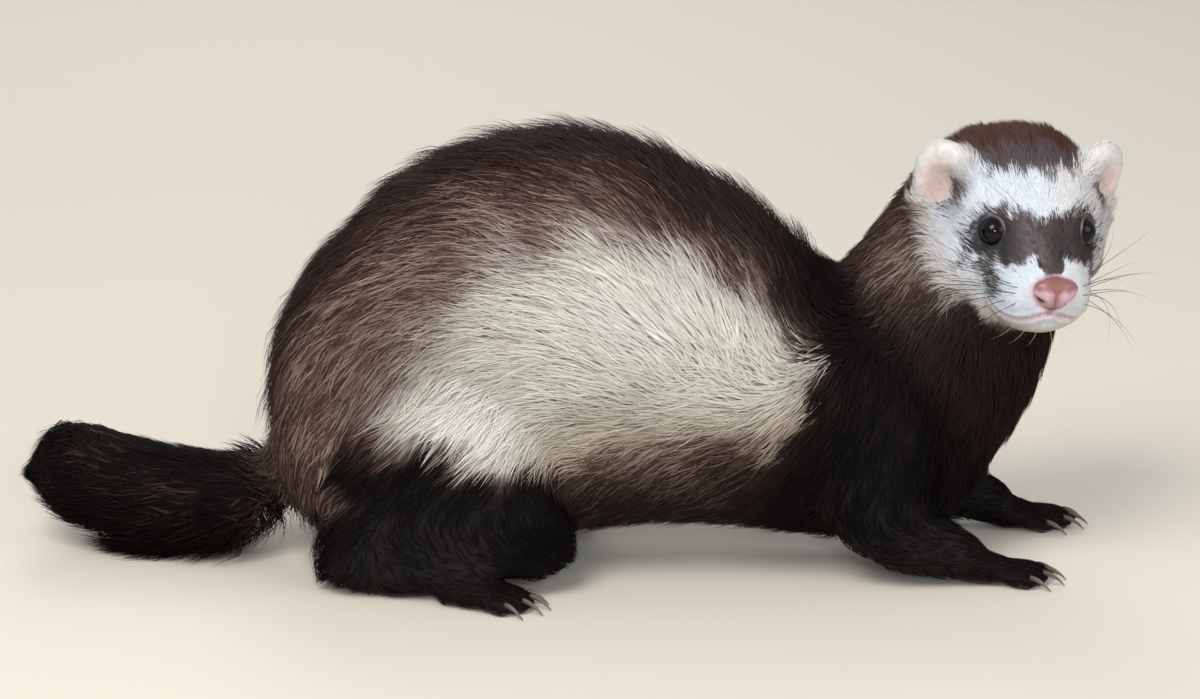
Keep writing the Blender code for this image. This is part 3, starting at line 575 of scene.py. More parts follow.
def fill_legs(skin):
    """Fills out the shins' fronts and the hocks' backs with long fur, and lifts the tail's brush."""
    legs = ease(0.2, 0.8, skin.part("hindleg"))
    front = side_blob(skin.points, -13, 17, 13, 11) * ease(-0.3, 0.5, skin.normals[:, 0]) * 13.0
    back = side_blob(skin.points, -71, 14, 12, 13) * ease(-0.3, 0.5, -skin.normals[:, 0]) * 9.0
    points = skin.points.copy()
    points[:, 0] += skin.spread((front - back) * legs, 8)
    points[:, 2] += 2.4 * ease(-112, -142, skin.points[:, 0])
    skin.move(points)
    below = side_blob(skin.points, -5, 20, 12, 11) * ease(-0.1, 0.6, -skin.normals[:, 2]) * 12.0
    sink = np.minimum(skin.spread(below * legs, 8), np.maximum(skin.points[:, 2] - 6, 0))
    skin.move(skin.points - sink[:, None] * np.array((0.25, 0, 1)))


def sections_of(points):
    """The name of the node of flesh that each point lies nearest to, as an index into FLESH."""
    corners, faces, owner = [], [], []
    for index, name in enumerate(FLESH):
        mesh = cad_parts[name].data
        start = len(corners)
        corners += [vert.co.copy() for vert in mesh.vertices]
        faces += [[start + i for i in face.vertices] for face in mesh.polygons]
        owner += [index] * len(mesh.polygons)
    tree = BVHTree.FromPolygons(corners, faces)
    return np.array([owner[tree.find_nearest(Vector(p) * MM)[2]] for p in points])


class Skin:
    """The skin as arrays, with what the coat needs at each of its vertices."""

    def __init__(self, obj):
        self.obj = obj
        self.read()
        label = sections_of(self.points)
        self.parts = {name: self.spread((label == i).astype(float), 6) for i, name in enumerate(FLESH)}

    def read(self):
        mesh = self.obj.data
        self.points = points_of(mesh)
        self.table = neighbour_table(mesh)
        self.normals = unit(self.spread(normals_of(mesh), 2))
        self.head = to_head(self.points)

    def move(self, points):
        set_points(self.obj.data, points)
        self.read()

    def part(self, *names):
        """How much each vertex belongs to the named nodes, or to those that the names begin."""
        return sum(w for name, w in self.parts.items() if name.startswith(names))

    def tangent(self, ways):
        return unit(ways - self.normals * (ways * self.normals).sum(axis=1, keepdims=True))

    def spread(self, values, rounds):
        return averaged(values, self.table, rounds)


# The coat's lie, length and colour at each vertex of the skin

def trunk_lie(points):
    x, _, z = points.T
    ways, total = np.zeros_like(points), np.zeros(len(points))
    for at_x, at_z, angle in TRUNK_LIE:
        weight = np.exp(-((x - at_x) ** 2 + (z - at_z) ** 2) / (2 * LIE_REACH**2)) + 1e-9
        way = np.array((-math.cos(math.radians(angle)), 0, math.sin(math.radians(angle))))
        ways += weight[:, None] * way
        total += weight
    return unit(ways / total[:, None])


def paw_heading(limb, side):
    angle = math.radians(PAWS[limb][1] * side)
    return np.array((math.cos(angle), math.sin(angle), 0))


def coat_lie(skin):
    """The direction in which the hair lies, from root to tip."""
    x, _, z = skin.points.T
    zone = face_zone(skin)
    from_nose = unit(unit(skin.head - HEAD_HAIR_FROM) + np.array((0, -0.7, 0))) @ HEAD_AXES
    ways = mix(trunk_lie(skin.points) * skin.part("torso")[:, None], from_nose, zone)
    down_neck = unit(np.stack([-0.55 + 0.35 * ease(95, 135, x), 0 * x, np.full_like(x, -0.85)], axis=1))
    ways += down_neck * (skin.part("neck") * (1 - zone))[:, None]
    ways += unit((-1, 0.14, -0.05)) * skin.part("tail")[:, None]
    low, ahead = ease(30, 14, z), ease(-66, -50, x)
    shin = side_blob(skin.points, -8, 22, 16, 14) * (skin.normals[:, 0] > -0.2)
    back = mix((-0.75, 0, -0.65), (0.1, 0, -1), shin)
    for name, side in SIDES.items():
        fore, hind = paw_heading("fore", side), paw_heading("hind", side)
        foot = mix(back, hind + np.array((0, 0, -0.3)), ahead)
        for part, way in (
            ("foreleg", mix((-0.25, 0, -1.0), fore, low)), ("hindleg", mix(back, foot, low)),
            ("forepaw", fore), ("hindpaw", hind),
            ("ear", ear_matrix(side)[:3, :3] @ np.array((0.25, 0, 1)) * 1.5),
        ):
            ways += way * skin.part(f"{part}_{name}")[:, None]
    return skin.tangent(skin.spread(skin.tangent(ways), 10))


def ear_part(skin, side):
    return skin.parts["ear_right" if side > 0 else "ear_left"]


def ear_tuft(skin, side):
    """How much each vertex belongs to the dark hairs at the inner front edge of an ear's cup."""
    return blob(to_frame(skin.points, ear_matrix(side)), (-5.8, 4.5, -2.8), (3.2, 5, 6.5))


def ear_share(skin, side):
    """How much each vertex lies bare in the cup of an ear."""
    inside = to_frame(skin.points, ear_matrix(side)) - EAR_HOLLOW
    depth = np.linalg.norm(inside / EAR_HOLLOW_SIZE, axis=1)
    cup = ease(1.08, 0.74, depth) * ease(0.15, 0.5, ear_part(skin, side))
    return cup * (1 - 0.9 * ear_tuft(skin, side))


def face_edge(head):
    """How far behind the rear edge of the pale face each place lies."""
    edge = np.interp(head[:, 2], (-60, -24, -20, -10, 0, 10, 20), (36, 4.5, -0.5, -12, -21.5, -23.5, -26.5))
    return edge - head[:, 1] + waves(head, 5, 6) * 1.1


def face_zone(skin):
    """1 on the head and on the ruff of pale fur that spreads from it over the neck."""
    ahead = ease(2.5, -1.5, face_edge(skin.head))
    near = ease(52, 44, np.linalg.norm(skin.head, axis=1)) * skin.part("head", "neck", "ear")
    return clamp(np.maximum(skin.part("head", "ear"), ahead * near))


def core_share(points):
    """How much of the full depth of the locks the solids' core leaves at each place."""
    x, _, z = points.T
    trunk = ease(-88.3, -69.3, x) * ease(82.7, 50.7, x) * ease(12, 45, z)
    return np.maximum(trunk, ease(-87.3, -99.3, x))


def coat_form(skin):
    """Length, height above the skin and width of the hairs, in millimetres."""
    x, _, z = skin.points.T
    hx, hy, hz = skin.head.T
    ahead, up = skin.normals[:, 0], skin.normals[:, 2]
    stops = (-40, -22, -12, -4, 4, 12, 18)
    face_length = np.interp(hy, stops, (9, 8, 6.5, 4.2, 3.2, 2.4, 1.8))
    face_lift = np.interp(hy, stops, (3.6, 3.2, 2.2, 1.2, 0.8, 0.6, 0.5))
    face_width = np.interp(hy, (-30, -8, 10), (0.30, 0.24, 0.19))
    ruff = ease(15, 24, np.abs(hx)) * ease(4, -6, hy) * ease(1, -7, hz) * ease(-26, -18, hy)
    crown = ease(-8, -14, hy) * ease(8, 14, hz)
    belly = ease(50, 20, z)
    crest = ease(0.45, 0.85, up) * ease(60, 85, z) * (1.0 - 2.4 * ease(-30, -62, x))
    seat = side_blob(skin.points, -86, 22, 12, 14) * ease(-0.3, 0.4, -up)
    shin = side_blob(skin.points, -10, 18, 14, 12) * ease(-0.2, 0.6, ahead)
    hock = side_blob(skin.points, -74, 18, 15, 16) * ease(-0.2, 0.6, -ahead)
    low_tail = ease(0.1, 0.7, -up) * ease(-134, -124, x)
    high_tail = ease(0.1, 0.7, up) * ease(-146, -126, x)
    tail_root, leg = ease(-122, -104, x), ease(10, 55, z)
    rows = (
        (skin.part("torso"), 16 - 3 * belly - 3 * ease(45, 80, x), 5.6 - 2.0 * belly + crest + 6 * seat, 0.36),
        (skin.part("head"), face_length + 3.0 * ruff, face_lift + 2.4 * ruff + 0.9 * crown, face_width),
        (skin.part("neck"), 12 - 3 * face_zone(skin), 3.8 - 1.0 * ease(100, 125, x), 0.36),
        (skin.part("tail"), 18 - 4 * tail_root, 6.0 + 1.5 * tail_root + 4.5 * low_tail - 4.5 * high_tail, 0.38),
        (skin.part("foreleg", "hindleg"), 4 + 8 * leg + 9 * shin + 10 * hock, 1 + 2.2 * leg + 5 * (shin + hock),
         0.32),
        (skin.part("forepaw", "hindpaw"), 3.4, 0.8, 0.24),
        (skin.part("ear"), 2.7, 0.7, 0.2),
    )
    total = sum(row[0] for row in rows)
    return [sum(row[0] * row[i] for row in rows) / total for i in (1, 2, 3)]


def mask_share(head):
    """The dark band across the eyes and the bridge of the nose."""
    across, ahead, up = np.abs(head[:, 0]), head[:, 1], head[:, 2]
    ragged = waves(head, 3.6, 3) * 0.7 + waves(head, 1.6, 4) * 0.35
    top = np.interp(across, (0, 5, 8.6, 12.4, 17, 20, 22), (5.6, 6.8, 7.6, 7.2, 5.0, 2.2, -2))
    bottom = np.interp(
        across, (0, 2.4, 4.2, 8.4, 11.3, 16, 20, 22), (-7, -6.4, -2.6, -4.2, -6.2, -7.0, -5.8, -3.2)
    )
    inside = ease(-1.5, 1.3, top + ragged - up) * ease(-0.8, 0.8, up - bottom + ragged)
    return inside * ease(-9, -6, ahead) * ease(20.8, 18.4, across + ragged)


def head_colours(head):
    """Colours of the under and the darker hairs on the head, and the share of darker ones."""
    x, y, z = head.T
    ragged, fine, edge = waves(head, 4.5, 5), waves(head, 1.7, 8), face_edge(head)
    # Cream at the chin and the back of the face; the cool white is the tint of the light where it falls, and
    # the warmer left side, away from it, is painted shade.
    warm = clamp(ease(-18, -26, z) + 0.55 * ease(-2, 12, -x) + 0.5 * ease(-16, -26, y))
    # Greyish-beige towards the rear and the bottom of the face: brownish hair, partly painted shade.
    base = mix(mix("face", "face_warm", warm), "cheek", 0.85 * ease(-11, 1, edge) * ease(12, 4, z))
    near_eye = sum(blob(head, mirrored((15.5, 1.5, 0), side), (6.5, 9, 7)) for side in BOTH)
    near_eye = near_eye + 0.4 * ease(0.1, 0.9, waves(head, 6, 9)) + 0.5 * blob(head, (-3.5, 9, 0), (3.5, 9, 5))
    grey = clamp(0.55 + 0.5 * fine) * bell(x - 4.5, 4.5) * ease(-7, -2, z)
    masked = mix(mix("mask", "mask_grey", grey), "mask_dark", clamp(near_eye * 1.8))
    dark = mask_share(head) * 0.96
    for side in BOTH:
        for line, width, strength in STREAKS:
            streak = bell(line_gap(head, mirrored(line, side)), width + 0.5 * fine)
            dark = np.maximum(dark, streak * strength)
    cap = ease(-2.5, 6.5, -7.0 - 0.035 * x * x - y + ragged * 1.6) * ease(7.5, 13, z + ragged)
    cap_colour = mix("crown_grey", "crown_brown", ease(14, 26, -y + 2.5 * ragged))
    below = mix(mix(base, masked, dark**1.4), cap_colour, cap**1.5)
    over = mix(masked, cap_colour, ease(0.05, 0.3, cap))
    share = np.clip(2.2 * dark * (1 - dark) + 0.1 * dark + 1.9 * cap * (1 - 0.6 * cap), 0, 0.85)
    behind = ease(-2.5, 4.5, edge)
    pale = ease(17, 3, edge) * ease(16, 8, z) * ease(-18, -8, z)
    back = mix(mix("crown_brown", "dark", ease(16, 0, z)), "neck_pale", 0.9 * pale)
    return mix(below, back, behind), mix(over, "brown", behind), share * (1 - behind) + 0.35 * behind


def blend_in(layer, target, weight):
    """Blends under, guard and share of a layer towards those of a target by a weight."""
    under, guard = (mix(layer[i], target[i], weight) for i in (0, 1))
    return under, guard, layer[2] * (1 - weight) + target[2] * weight


def dark_share(points):
    """0 on the pale sides of the trunk, 1 on its dark back, rump, shoulders and belly."""
    drift = [waves(points, 15, seed) * 2.4 + waves(points, 5, seed + 2) * 0.9 for seed in (15, 16)]
    places = points[:, [0, 2]] + np.stack(drift, axis=1)
    nearest, soft = np.full(len(places), np.inf), np.ones(len(places))
    inside = np.zeros(len(places), bool)
    outline = np.array(PALE_SIDE, float)
    for start, end in zip(outline, np.roll(outline, -1, axis=0)):
        span = end - start
        along = clamp((places - start[:2]) @ span[:2] / (span[:2] @ span[:2]))
        gap = np.linalg.norm(places - start[:2] - along[:, None] * span[:2], axis=1)
        soft = np.where(gap < nearest, start[2] + along * span[2], soft)
        nearest = np.minimum(nearest, gap)
        crosses = (start[1] > places[:, 1]) != (end[1] > places[:, 1])
        inside ^= crosses & (places[:, 0] < start[0] + (places[:, 1] - start[1]) / (span[1] or 1) * span[0])
    return ease(1, -1, np.where(inside, nearest, -nearest) / soft)


def trunk_colours(skin):
    """Underfur, guard hairs, the share of guard hairs, and how dark the trunk's coat is."""
    points = skin.points
    x, y, z = points.T
    patchy, fine = waves(points, 16, 11), waves(points, 6, 12)
    dark = dark_share(points)
    shade = clamp(dark + 0.05 * fine)
    spine = ease(29, 9, np.abs(y) + 3 * patchy) * ease(58, 84, z + 0.55 * np.clip(-x - 40, 0, 60))
    deep = np.maximum(spine, ease(12, 38, x + 0.25 * (z - 100))) * ease(0.25, 0.8, dark)
    # Darker low on the trunk: dark belly fur, partly painted shade under the body.
    underside = ease(46, 26, z + 0.35 * np.clip(-x - 30, 0, 60))
    deep = np.maximum(deep, 0.75 * underside * ease(0.5, 1.0, dark))
    # Tan low on the flank: a warmer coat there, and partly painted shade as the flank turns down from the
    # light.
    stops, low = (0, 0.25, 0.55, 1), ease(66, 44, z) * ease(-18, 0, x)
    under = mix(ramp(("cream", "haze", "grey", "rump"), stops, shade), "tan", 0.7 * low * (1 - dark))
    guard = ramp(("fawn", "bark", "brown", "rump_guard"), stops, shade)
    # Paler: painted light on the upper flank, and a white patch lower on the rear of the flank.
    lit_flank_and_patch = 0.5 * side_blob(points, 22, 84, 30, 15) + 1.3 * side_blob(points, -27, 53, 15, 12)
    under = mix(under, "white", clamp(lit_flank_and_patch * (1 - dark)))
    # Black on the shoulders, and lower down dark belly fur that is partly painted shade under the body.
    night = clamp(ease(52, 74, x) + 0.45 * ease(42, 24, z)) * ease(0.45, 1, dark)
    under = mix(mix(under, "dark", 0.85 * deep), "black", 0.9 * night)
    guard = mix(mix(guard, "dark", 0.9 * deep), "black", 0.9 * night)
    share = 0.08 + 0.95 * dark * (1 - 0.42 * dark) + 0.06 * patchy + 0.05 * fine + 0.25 * deep
    return under, guard, clamp(share) * (1 - 0.8 * clamp(lit_flank_and_patch) * (1 - dark)), dark


def coat_colours(skin):
    """Colours of the underfur and the guard hairs, and the share of guard hairs, at each vertex."""
    points = skin.points
    x, y, z = points.T
    patchy = waves(points, 16, 13)
    under, guard, share, night = trunk_colours(skin)
    side_neck = blob(points, (99, -18, 99), (15, 18, 14)) * (y < 5)
    nape = ease(80, 105, z) * ease(125, 100, x)
    neck_under = mix(mix("black", "dark", 0.45 + 0.4 * patchy), "neck_pale", clamp(0.75 * side_neck))
    neck_under = mix(neck_under, "brown", 0.45 * nape * (1 - side_neck))
    neck_guard = mix("black", "brown", clamp(0.2 + 0.5 * side_neck + 0.3 * nape))
    thigh = skin.part("hindleg") * ease(0.95, 0.5, night) * ease(30, 36, z)
    limbs = clamp(skin.part("foreleg", "hindleg", "forepaw", "hindpaw") - thigh)
    root = ease(-106, -90, x)
    tail_under = mix(mix("brown", "dark", 0.75 + 0.2 * patchy), "bark", 0.5 * root)
    pale_root = clamp(sum(blob(points, (-86, at, 31), (7, 9, 6)) for at in (12, -20)))
    targets = [
        ((neck_under, neck_guard, 0.8 - 0.35 * side_neck), skin.part("neck")),
        ((mix("dark", "black", 0.7 + 0.3 * patchy), "black", 0.75), limbs),
        ((mix("dark", "black", 0.4), "black", 0.3), skin.part("forepaw", "hindpaw") * 0.6),
        ((tail_under, "black", 0.85 - 0.2 * root), clamp(skin.part("tail"))),
        (("beige", guard, 0.4), 0.45 * pale_root),
        (head_colours(skin.head), face_zone(skin)),
    ]
    for side in BOTH:
        targets += [
            (("ear_rim", "ear_rim", 0.0), ease(0.2, 0.6, ear_part(skin, side))),
            (("crown_brown", "mask", 0.5), np.clip(1.6 * ear_tuft(skin, side), 0, 0.9)),
        ]
    layer = under, guard, share
    for target, weight in targets:
        layer = blend_in(layer, target, weight)
    return layer


def claw_gap(skin):
    """The distance from the nearest claw's middle line."""
    tip = (0, CLAW_LENGTH, -CLAW_LENGTH * CLAW_DROP)
    return np.min([line_gap(to_frame(skin.points, claw), ((0, 0.5, 0), tip)) for claw in claw_frames()], axis=0)


def bare_share(skin):
    """1 where no hair grows: by the lids, on the lips, beside the nose, in the ears and at the claws."""
    height, front = skin.points[:, 2], ease(2, 8, skin.head[:, 1])
    sole = (height < 1) | (skin.normals[:, 2] < -0.6) & (height < 3)
    bare = [sole, nose_gap(skin.head, 0.2) < 1, claw_gap(skin) < 1.2]
    for side in BOTH:
        _, far, angle = about_eye(skin.head, side)
        lips = ease(1.3, 0.5, mouth_gap(skin.head, side))
        bare += [(angle < 72) & (far < 9), lips * (0.4 + 0.6 * front), ear_share(skin, side) * 0.8]
    return np.max(np.array(bare, float), axis=0)


def skin_colours(skin, under, guard, share):
    """The skin's colour: the coat's, a little darker as painted shade under the hair, with bare pink skin where
    it shows.
    """
    # the coat's colour, darkened by a tenth as painted shade under the hair
    base = mix(under, guard, share * 0.7) * 0.9
    head = skin.head
    front = ease(0, 6, head[:, 1])
    for side in BOTH:
        gap = mouth_gap(head, side)
        lower = 0.55 + 0.45 * (head[:, 2] < -17.4)
        base = mix(base, "lip", 0.95 * ease(2.6, 1.1, gap) * lower * (0.05 + 0.95 * front))
        base = mix(base, "mouth_line", 0.9 * ease(0.75, 0.2, gap) * front)
        base = mix(base, "ear_skin", ear_share(skin, side))
    groove = line_gap(head, on_surface(head, LIP_GROOVE))
    base = mix(base, "mouth_line", 0.7 * ease(0.6, 0.2, groove))
    base = mix(base, "lip", 0.8 * ease(1.12, 0.9, nose_gap(head, 0.8)))
    base = mix(base, "claw_root", 0.9 * ease(1.6, 1.0, claw_gap(skin)))
    under_foot = ease(2.0, 0.8, skin.points[:, 2]) * (skin.normals[:, 2] < -0.3)
    return mix(base, "pad", under_foot * 0.7)


# Tufts

def hair_colour(under, over, dark, shade, share):
    """Hair is a little darker at its root, painted shade where the coat covers it, and a guard hair darkens
    towards its tip.
    """
    tip = ease(0.05, 0.6, share) * dark
    return mix(under * (0.92 + 0.08 * share), over, tip) * shade


class Coat:
    """Grows tufts on a skin and gathers them into pieces."""

    def __init__(self, skin):
        self.skin = skin
        mesh = skin.obj.data
        mesh.calc_loop_triangles()
        self.corners = rows_of(mesh.loop_triangles, "vertices", 3, np.int32)
        self.loops = rows_of(mesh.loop_triangles, "loops", 3, np.int32)
        self.uv = rows_of(mesh.uv_layers["OFBake"].data, "uv", 2)
        a, b, c = (skin.points[self.corners[:, i]] for i in range(3))
        self.area = np.linalg.norm(np.cross(b - a, c - a), axis=1) / 2
        self.lie = coat_lie(skin)
        self.length, self.lift, self.width = coat_form(skin)
        self.under, self.guard, self.share = coat_colours(skin)
        self.bare = bare_share(skin)
        self.around = np.concatenate([np.arange(len(skin.points))[:, None], skin.table], axis=1)

    def roots(self, where, count, draw):
        """Places spread over the skin by a density given for each vertex."""
        weight = self.area * (where * (1 - self.bare))[self.corners].mean(axis=1)
        total = np.cumsum(weight)
        chosen = np.searchsorted(total / total[-1], (np.arange(count) + draw.random(count)) / count)
        chosen = np.minimum(chosen, len(total) - 1)
        first, second = np.sqrt(draw.random(count)), draw.random(count)
        share = np.stack([1 - first, first * (1 - second), first * second], axis=1)
        corners = self.corners[chosen]
        place = (self.skin.points[corners] * share[..., None]).sum(axis=1)
        uv = (self.uv[self.loops[chosen]] * share[..., None]).sum(axis=1)
        return place, corners[np.arange(count), share.argmax(axis=1)], uv

    def walk(self, place, at, step, steps, sway):
        """The way along the skin from each place, following the lie."""
        rows = np.arange(len(place))
        path, stops = [place], [at]
        for _ in range(steps):
            lie, normal = self.lie[at], self.skin.normals[at]
            way = lie * np.cos(sway)[:, None] + np.cross(normal, lie) * np.sin(sway)[:, None]
            place = place + way * step[:, None]
            for _ in range(2):
                near = self.around[at]
                gap = ((self.skin.points[near] - place[:, None]) ** 2).sum(axis=2)
                at = near[rows, gap.argmin(axis=1)]
            normal = self.skin.normals[at]
            place = place - normal * ((place - self.skin.points[at]) * normal).sum(axis=1, keepdims=True)
            path.append(place)
            stops.append(at)
        return np.stack(path), np.stack(stops)

    def clumps(self, place, draw, size):
        """For each tuft the leader of the clump that it leans to."""
        leaders = draw.choice(len(place), max(1, len(place) // size), replace=False)
        tree = tree_of(place[leaders])
        return leaders[[tree.find(point)[1] for point in place]]

    def raised(self, path, stops, along, height):
        """Middles of the tufts' rings, lifted off the way along the skin, and the skin's normals there."""
        steps, centres, ups = len(path) - 1, [], []
        for share in along:
            step = share * steps
            low = min(int(step), steps - 1)
            spot = path[low] + (path[low + 1] - path[low]) * (step - low)
            up = self.skin.normals[stops[min(int(round(step)), steps)]]
            rise = -ROOT_DEPTH + (height + ROOT_DEPTH) * (1 - (1 - share) ** 1.7)
            centres.append(spot + up * rise[:, None])
            ups.append(up)
        return np.stack(centres), ups

    def grow(self, name, slot, where, count, rings, seed, clump, pull, scale=1.0, guard=0.0, stand=1.0,
             broad=1.0, flat=1.0):
        """Grows tufts where a density says, and makes them into pieces."""
        draw = np.random.default_rng(seed)
        place, at, uv = self.roots(where, count, draw)
        long = self.length[at] * scale * draw.uniform(0.72, 1.15, count)
        sway = draw.normal(0, 0.13, count) + 0.25 * waves(place, 9, seed + 50)
        steps = LONG_WALK if self.length[at].mean() > LONG_HAIR else SHORT_WALK
        path, stops = self.walk(place, at, long / steps, steps, sway)
        leader = self.clumps(place, draw, clump)
        height = self.lift[at] * stand * draw.uniform(0.7, 1.12, count)
        height *= 1 + (0.10 * waves(place, 14, 61) + 0.12 * waves(place, 6, 62)) * (height > 2)
        loose = draw.random(count)[leader] * ease(5, 7, height)
        height *= 1 + 0.26 * loose * loose
        along = np.linspace(0, 1, rings + 1)
        centres, ups = self.raised(path, stops, along, height)
        close = np.linalg.norm(place[leader] - place, axis=1) < CLUMP_REACH
        for i, share in enumerate(along):
            lean = (pull * share * share * close)[:, None]
            centres[i] = centres[i] * (1 - lean) + centres[i][leader] * lean
        bend = waves(place, 5, seed + 70)[:, None] * 0.05 * long[:, None]
        ways = np.gradient(centres, axis=0)
        width = self.width[at] * draw.uniform(0.8, 1.2, count) * broad
        profile = np.interp(along, (0, 0.3, 0.7, 1), (0.8, 1.0, 0.72, 0.0))
        kin = draw.random(count)[leader]
        middle = stops[(steps * (0.25 + 0.7 * kin)).astype(int), np.arange(count)]
        chance = draw.random(count) * 0.6 + kin * 0.4
        dark = (chance < clamp(self.share[middle] * (1 - abs(guard)) + guard)).astype(float)
        shade = (draw.uniform(0.90, 1.08, count) * (0.96 + 0.08 * kin))[:, None]
        tints = self.under[middle], self.guard[middle], dark, shade
        points, colours, normals = [], [], []
        for i, share in enumerate(along[:-1]):
            across = unit(np.cross(ways[i], ups[i]))
            top = unit(np.cross(across, ways[i]))
            half = (width * profile[i] / 2)[:, None]
            centre = centres[i] + across * bend * share * share
            for side, up in ((1, -0.35), (-1, -0.35), (0, 0.75)):
                points.append(centre + across * half * side + top * half * up * flat)
                normals.append(ups[i] * 0.7 + across * 0.35 * side + top * 0.2 * up)
                colours.append(hair_colour(*tints, share))
        points.append(centres[-1] + unit(np.cross(ways[-1], ups[-1])) * bend)
        normals.append(ups[-1])
        colours.append(hair_colour(*tints, 1.0))
        points, colours, normals = (np.stack(rows, axis=1) for rows in (points, colours, normals))
        points[..., 2] = np.maximum(points[..., 2], LOWEST_HAIR)
        patch = [(u, v) for v in along[:-1] for u in (-0.5, 0.5, 0.0)] + [(0.0, 1.0)]
        patch = (np.array(patch) - (0, 0.5)) * PATCH
        self.gather(name, slot, (points, colours, uv[:, None] + patch, unit(normals)), rings)

    def gather(self, name, slot, rows, rings):
        """Splits tufts into pieces of fewer than 200,000 triangles, each of its own stretch of the body."""
        faces = [(0, 1, 2)]
        for start in range(0, (rings - 1) * 3, 3):
            for i in range(3):
                j = (i + 1) % 3
                faces += [(start + i, start + 3 + i, start + j), (start + j, start + 3 + i, start + 3 + j)]
        start, tip = (rings - 1) * 3, rings * 3
        faces += [(start + i, tip, start + (i + 1) % 3) for i in range(3)]
        faces = np.array(faces)[:, ::-1]
        points = rows[0]
        pieces = math.ceil(len(points) / (MOST_TRIANGLES // len(faces)))
        for number, chosen in enumerate(np.array_split(np.argsort(points[:, 0, 0]), pieces), start=1):
            corners = faces[None] + (np.arange(len(chosen)) * (tip + 1))[:, None, None]
            place, tint, uv, normals = (row[chosen].reshape(-1, row.shape[-1]) for row in rows)
            obj = add_mesh(f"{name}_{number}", place, corners.reshape(-1, 3), tint, uv, normals)
            ride(obj, slot, "coat")


# Materials

def shader_of(name, roughness, specular):
    material = bpy.data.materials.new(name)
    material.use_nodes = True
    shader = material.node_tree.nodes["Principled BSDF"]
    shader.inputs["Roughness"].default_value = roughness
    shader.inputs["Specular IOR Level"].default_value = specular
    return material, material.node_tree, shader


def add_node(tree, kind, inputs=(), **settings):
    """A shader node whose inputs are set to numbers, or linked to the outputs given for them."""
    node = tree.nodes.new(kind)
    for key, value in settings.items():
        setattr(node, key, value)
    for key, value in dict(inputs).items():
        if isinstance(value, bpy.types.NodeSocket):
            tree.links.new(value, node.inputs[key])
        else:
            node.inputs[key].default_value = value
    return node.outputs


def painted(name, roughness, specular, variation, scale, grain=None):
    """A material that takes its colour from the painted attribute, a little varied.

    Its grain, where it has one, is the kind and output of a pattern node, with the pattern's
    inputs, then the relief's strength and depth in metres, and whether it goes inwards.
    """
    material, tree, shader = shader_of(name, roughness, specular)
    coat = add_node(tree, "ShaderNodeAttribute", attribute_name="Coat")["Color"]
    place = add_node(tree, "ShaderNodeTexCoord")["Object"]
    noise = add_node(tree, "ShaderNodeTexNoise", {"Vector": place, "Scale": scale, "Detail": 3})["Fac"]
    limits = {"Value": noise, "To Min": 1 - variation, "To Max": 1 + variation}
    spread = add_node(tree, "ShaderNodeMapRange", limits)["Result"]
    blend = add_node(tree, "ShaderNodeVectorMath", {0: coat, "Scale": spread}, operation="SCALE")["Vector"]
    tree.links.new(blend, shader.inputs["Base Color"])
    if grain:
        kind, output, inputs, strength, depth, inwards = grain
        pattern = add_node(tree, kind, {"Vector": place, **inputs})[output]
        form = {"Height": pattern, "Strength": strength, "Distance": depth}
        relief = add_node(tree, "ShaderNodeBump", form, invert=inwards)["Normal"]
        tree.links.new(relief, shader.inputs["Normal"])
    return material


def materials():
    def fine(strength):
        return "ShaderNodeTexNoise", "Fac", {"Scale": 900, "Detail": 2}, strength, 0.0002, False

    pebbled = "ShaderNodeTexVoronoi", "Distance", {"Scale": 1700}, 0.35, 0.00012, True
    return {
        "coat": painted("coat hair", 0.65, 0.06, 0.05, 260),
        "skin": painted("skin", 0.75, 0.2, 0.10, 300, fine(0.6)),
        "lid": painted("lid skin", 0.42, 0.5, 0.10, 700, fine(0.3)),
        "claw": painted("claw horn", 0.35, 0.4, 0.12, 900, fine(0.15)),
        "whisker": painted("whisker", 0.4, 0.5, 0.05, 300),
        "nose": painted("nose skin", 0.34, 0.5, 0.12, 500, pebbled),
        "eye": painted("eye", 0.04, 0.2, 0.05, 300),
    }


# Eyes, lids, nose, claws and whiskers

def turns(columns):
    """Angles of the points around a ring."""
    return math.tau * np.arange(columns) / columns


def globe(rows, columns):
    """The angle from the front, and the turn about it, of each point in a sphere's grid."""
    angle = math.pi * (np.arange(rows) + 0.02) / (rows - 0.96)
    return np.repeat(angle, columns), np.tile(turns(columns), rows)


def ways_at(axes, angle, turn):
    """Directions at angles from the third axis, turned about it from the first towards the second."""
    weights = np.cos(turn) * np.sin(angle), np.sin(turn) * np.sin(angle), np.cos(angle)
    return np.stack(weights, axis=1) @ np.array(axes)


def eye_axes(side):
    """Level and up across an eye's aim, and the aim."""
    aim = mirrored(EYE_AIM, side)
    level = unit(np.cross(np.array((0, 0, 1.0)), aim))
    return level, np.cross(aim, level), aim


def grid_faces(rows, columns):
    """Corners of the quads between rows of points; each row closes on itself."""
    start, i = (index.ravel() for index in np.indices((rows - 1, columns)))
    start, j = start * columns, (i + 1) % columns
    return np.stack([start + i, start + j, start + columns + j, start + columns + i], axis=1)


def eyeball(name, side, rows=40, columns=56):
    """A dark, moist eyeball whose clear front bulges slightly."""
    angle, turn = globe(rows, columns)
    degrees = np.degrees(angle)
    far = EYE_RADIUS + 0.28 * bell(degrees, 34)
    points = mirrored(EYE_PLACE, side) + ways_at(eye_axes(side), angle, turn) * far[:, None]
    colours = EYE_BLACK + ((degrees > 20) & (degrees < 40))[:, None] * EYE_IRIS
    obj = add_mesh(name, from_head(points), grid_faces(rows, columns)[:, ::-1], colours)
    dress(obj, "eye", "eye", name)
    obj.name = f"eyeball_{name[4:]}"


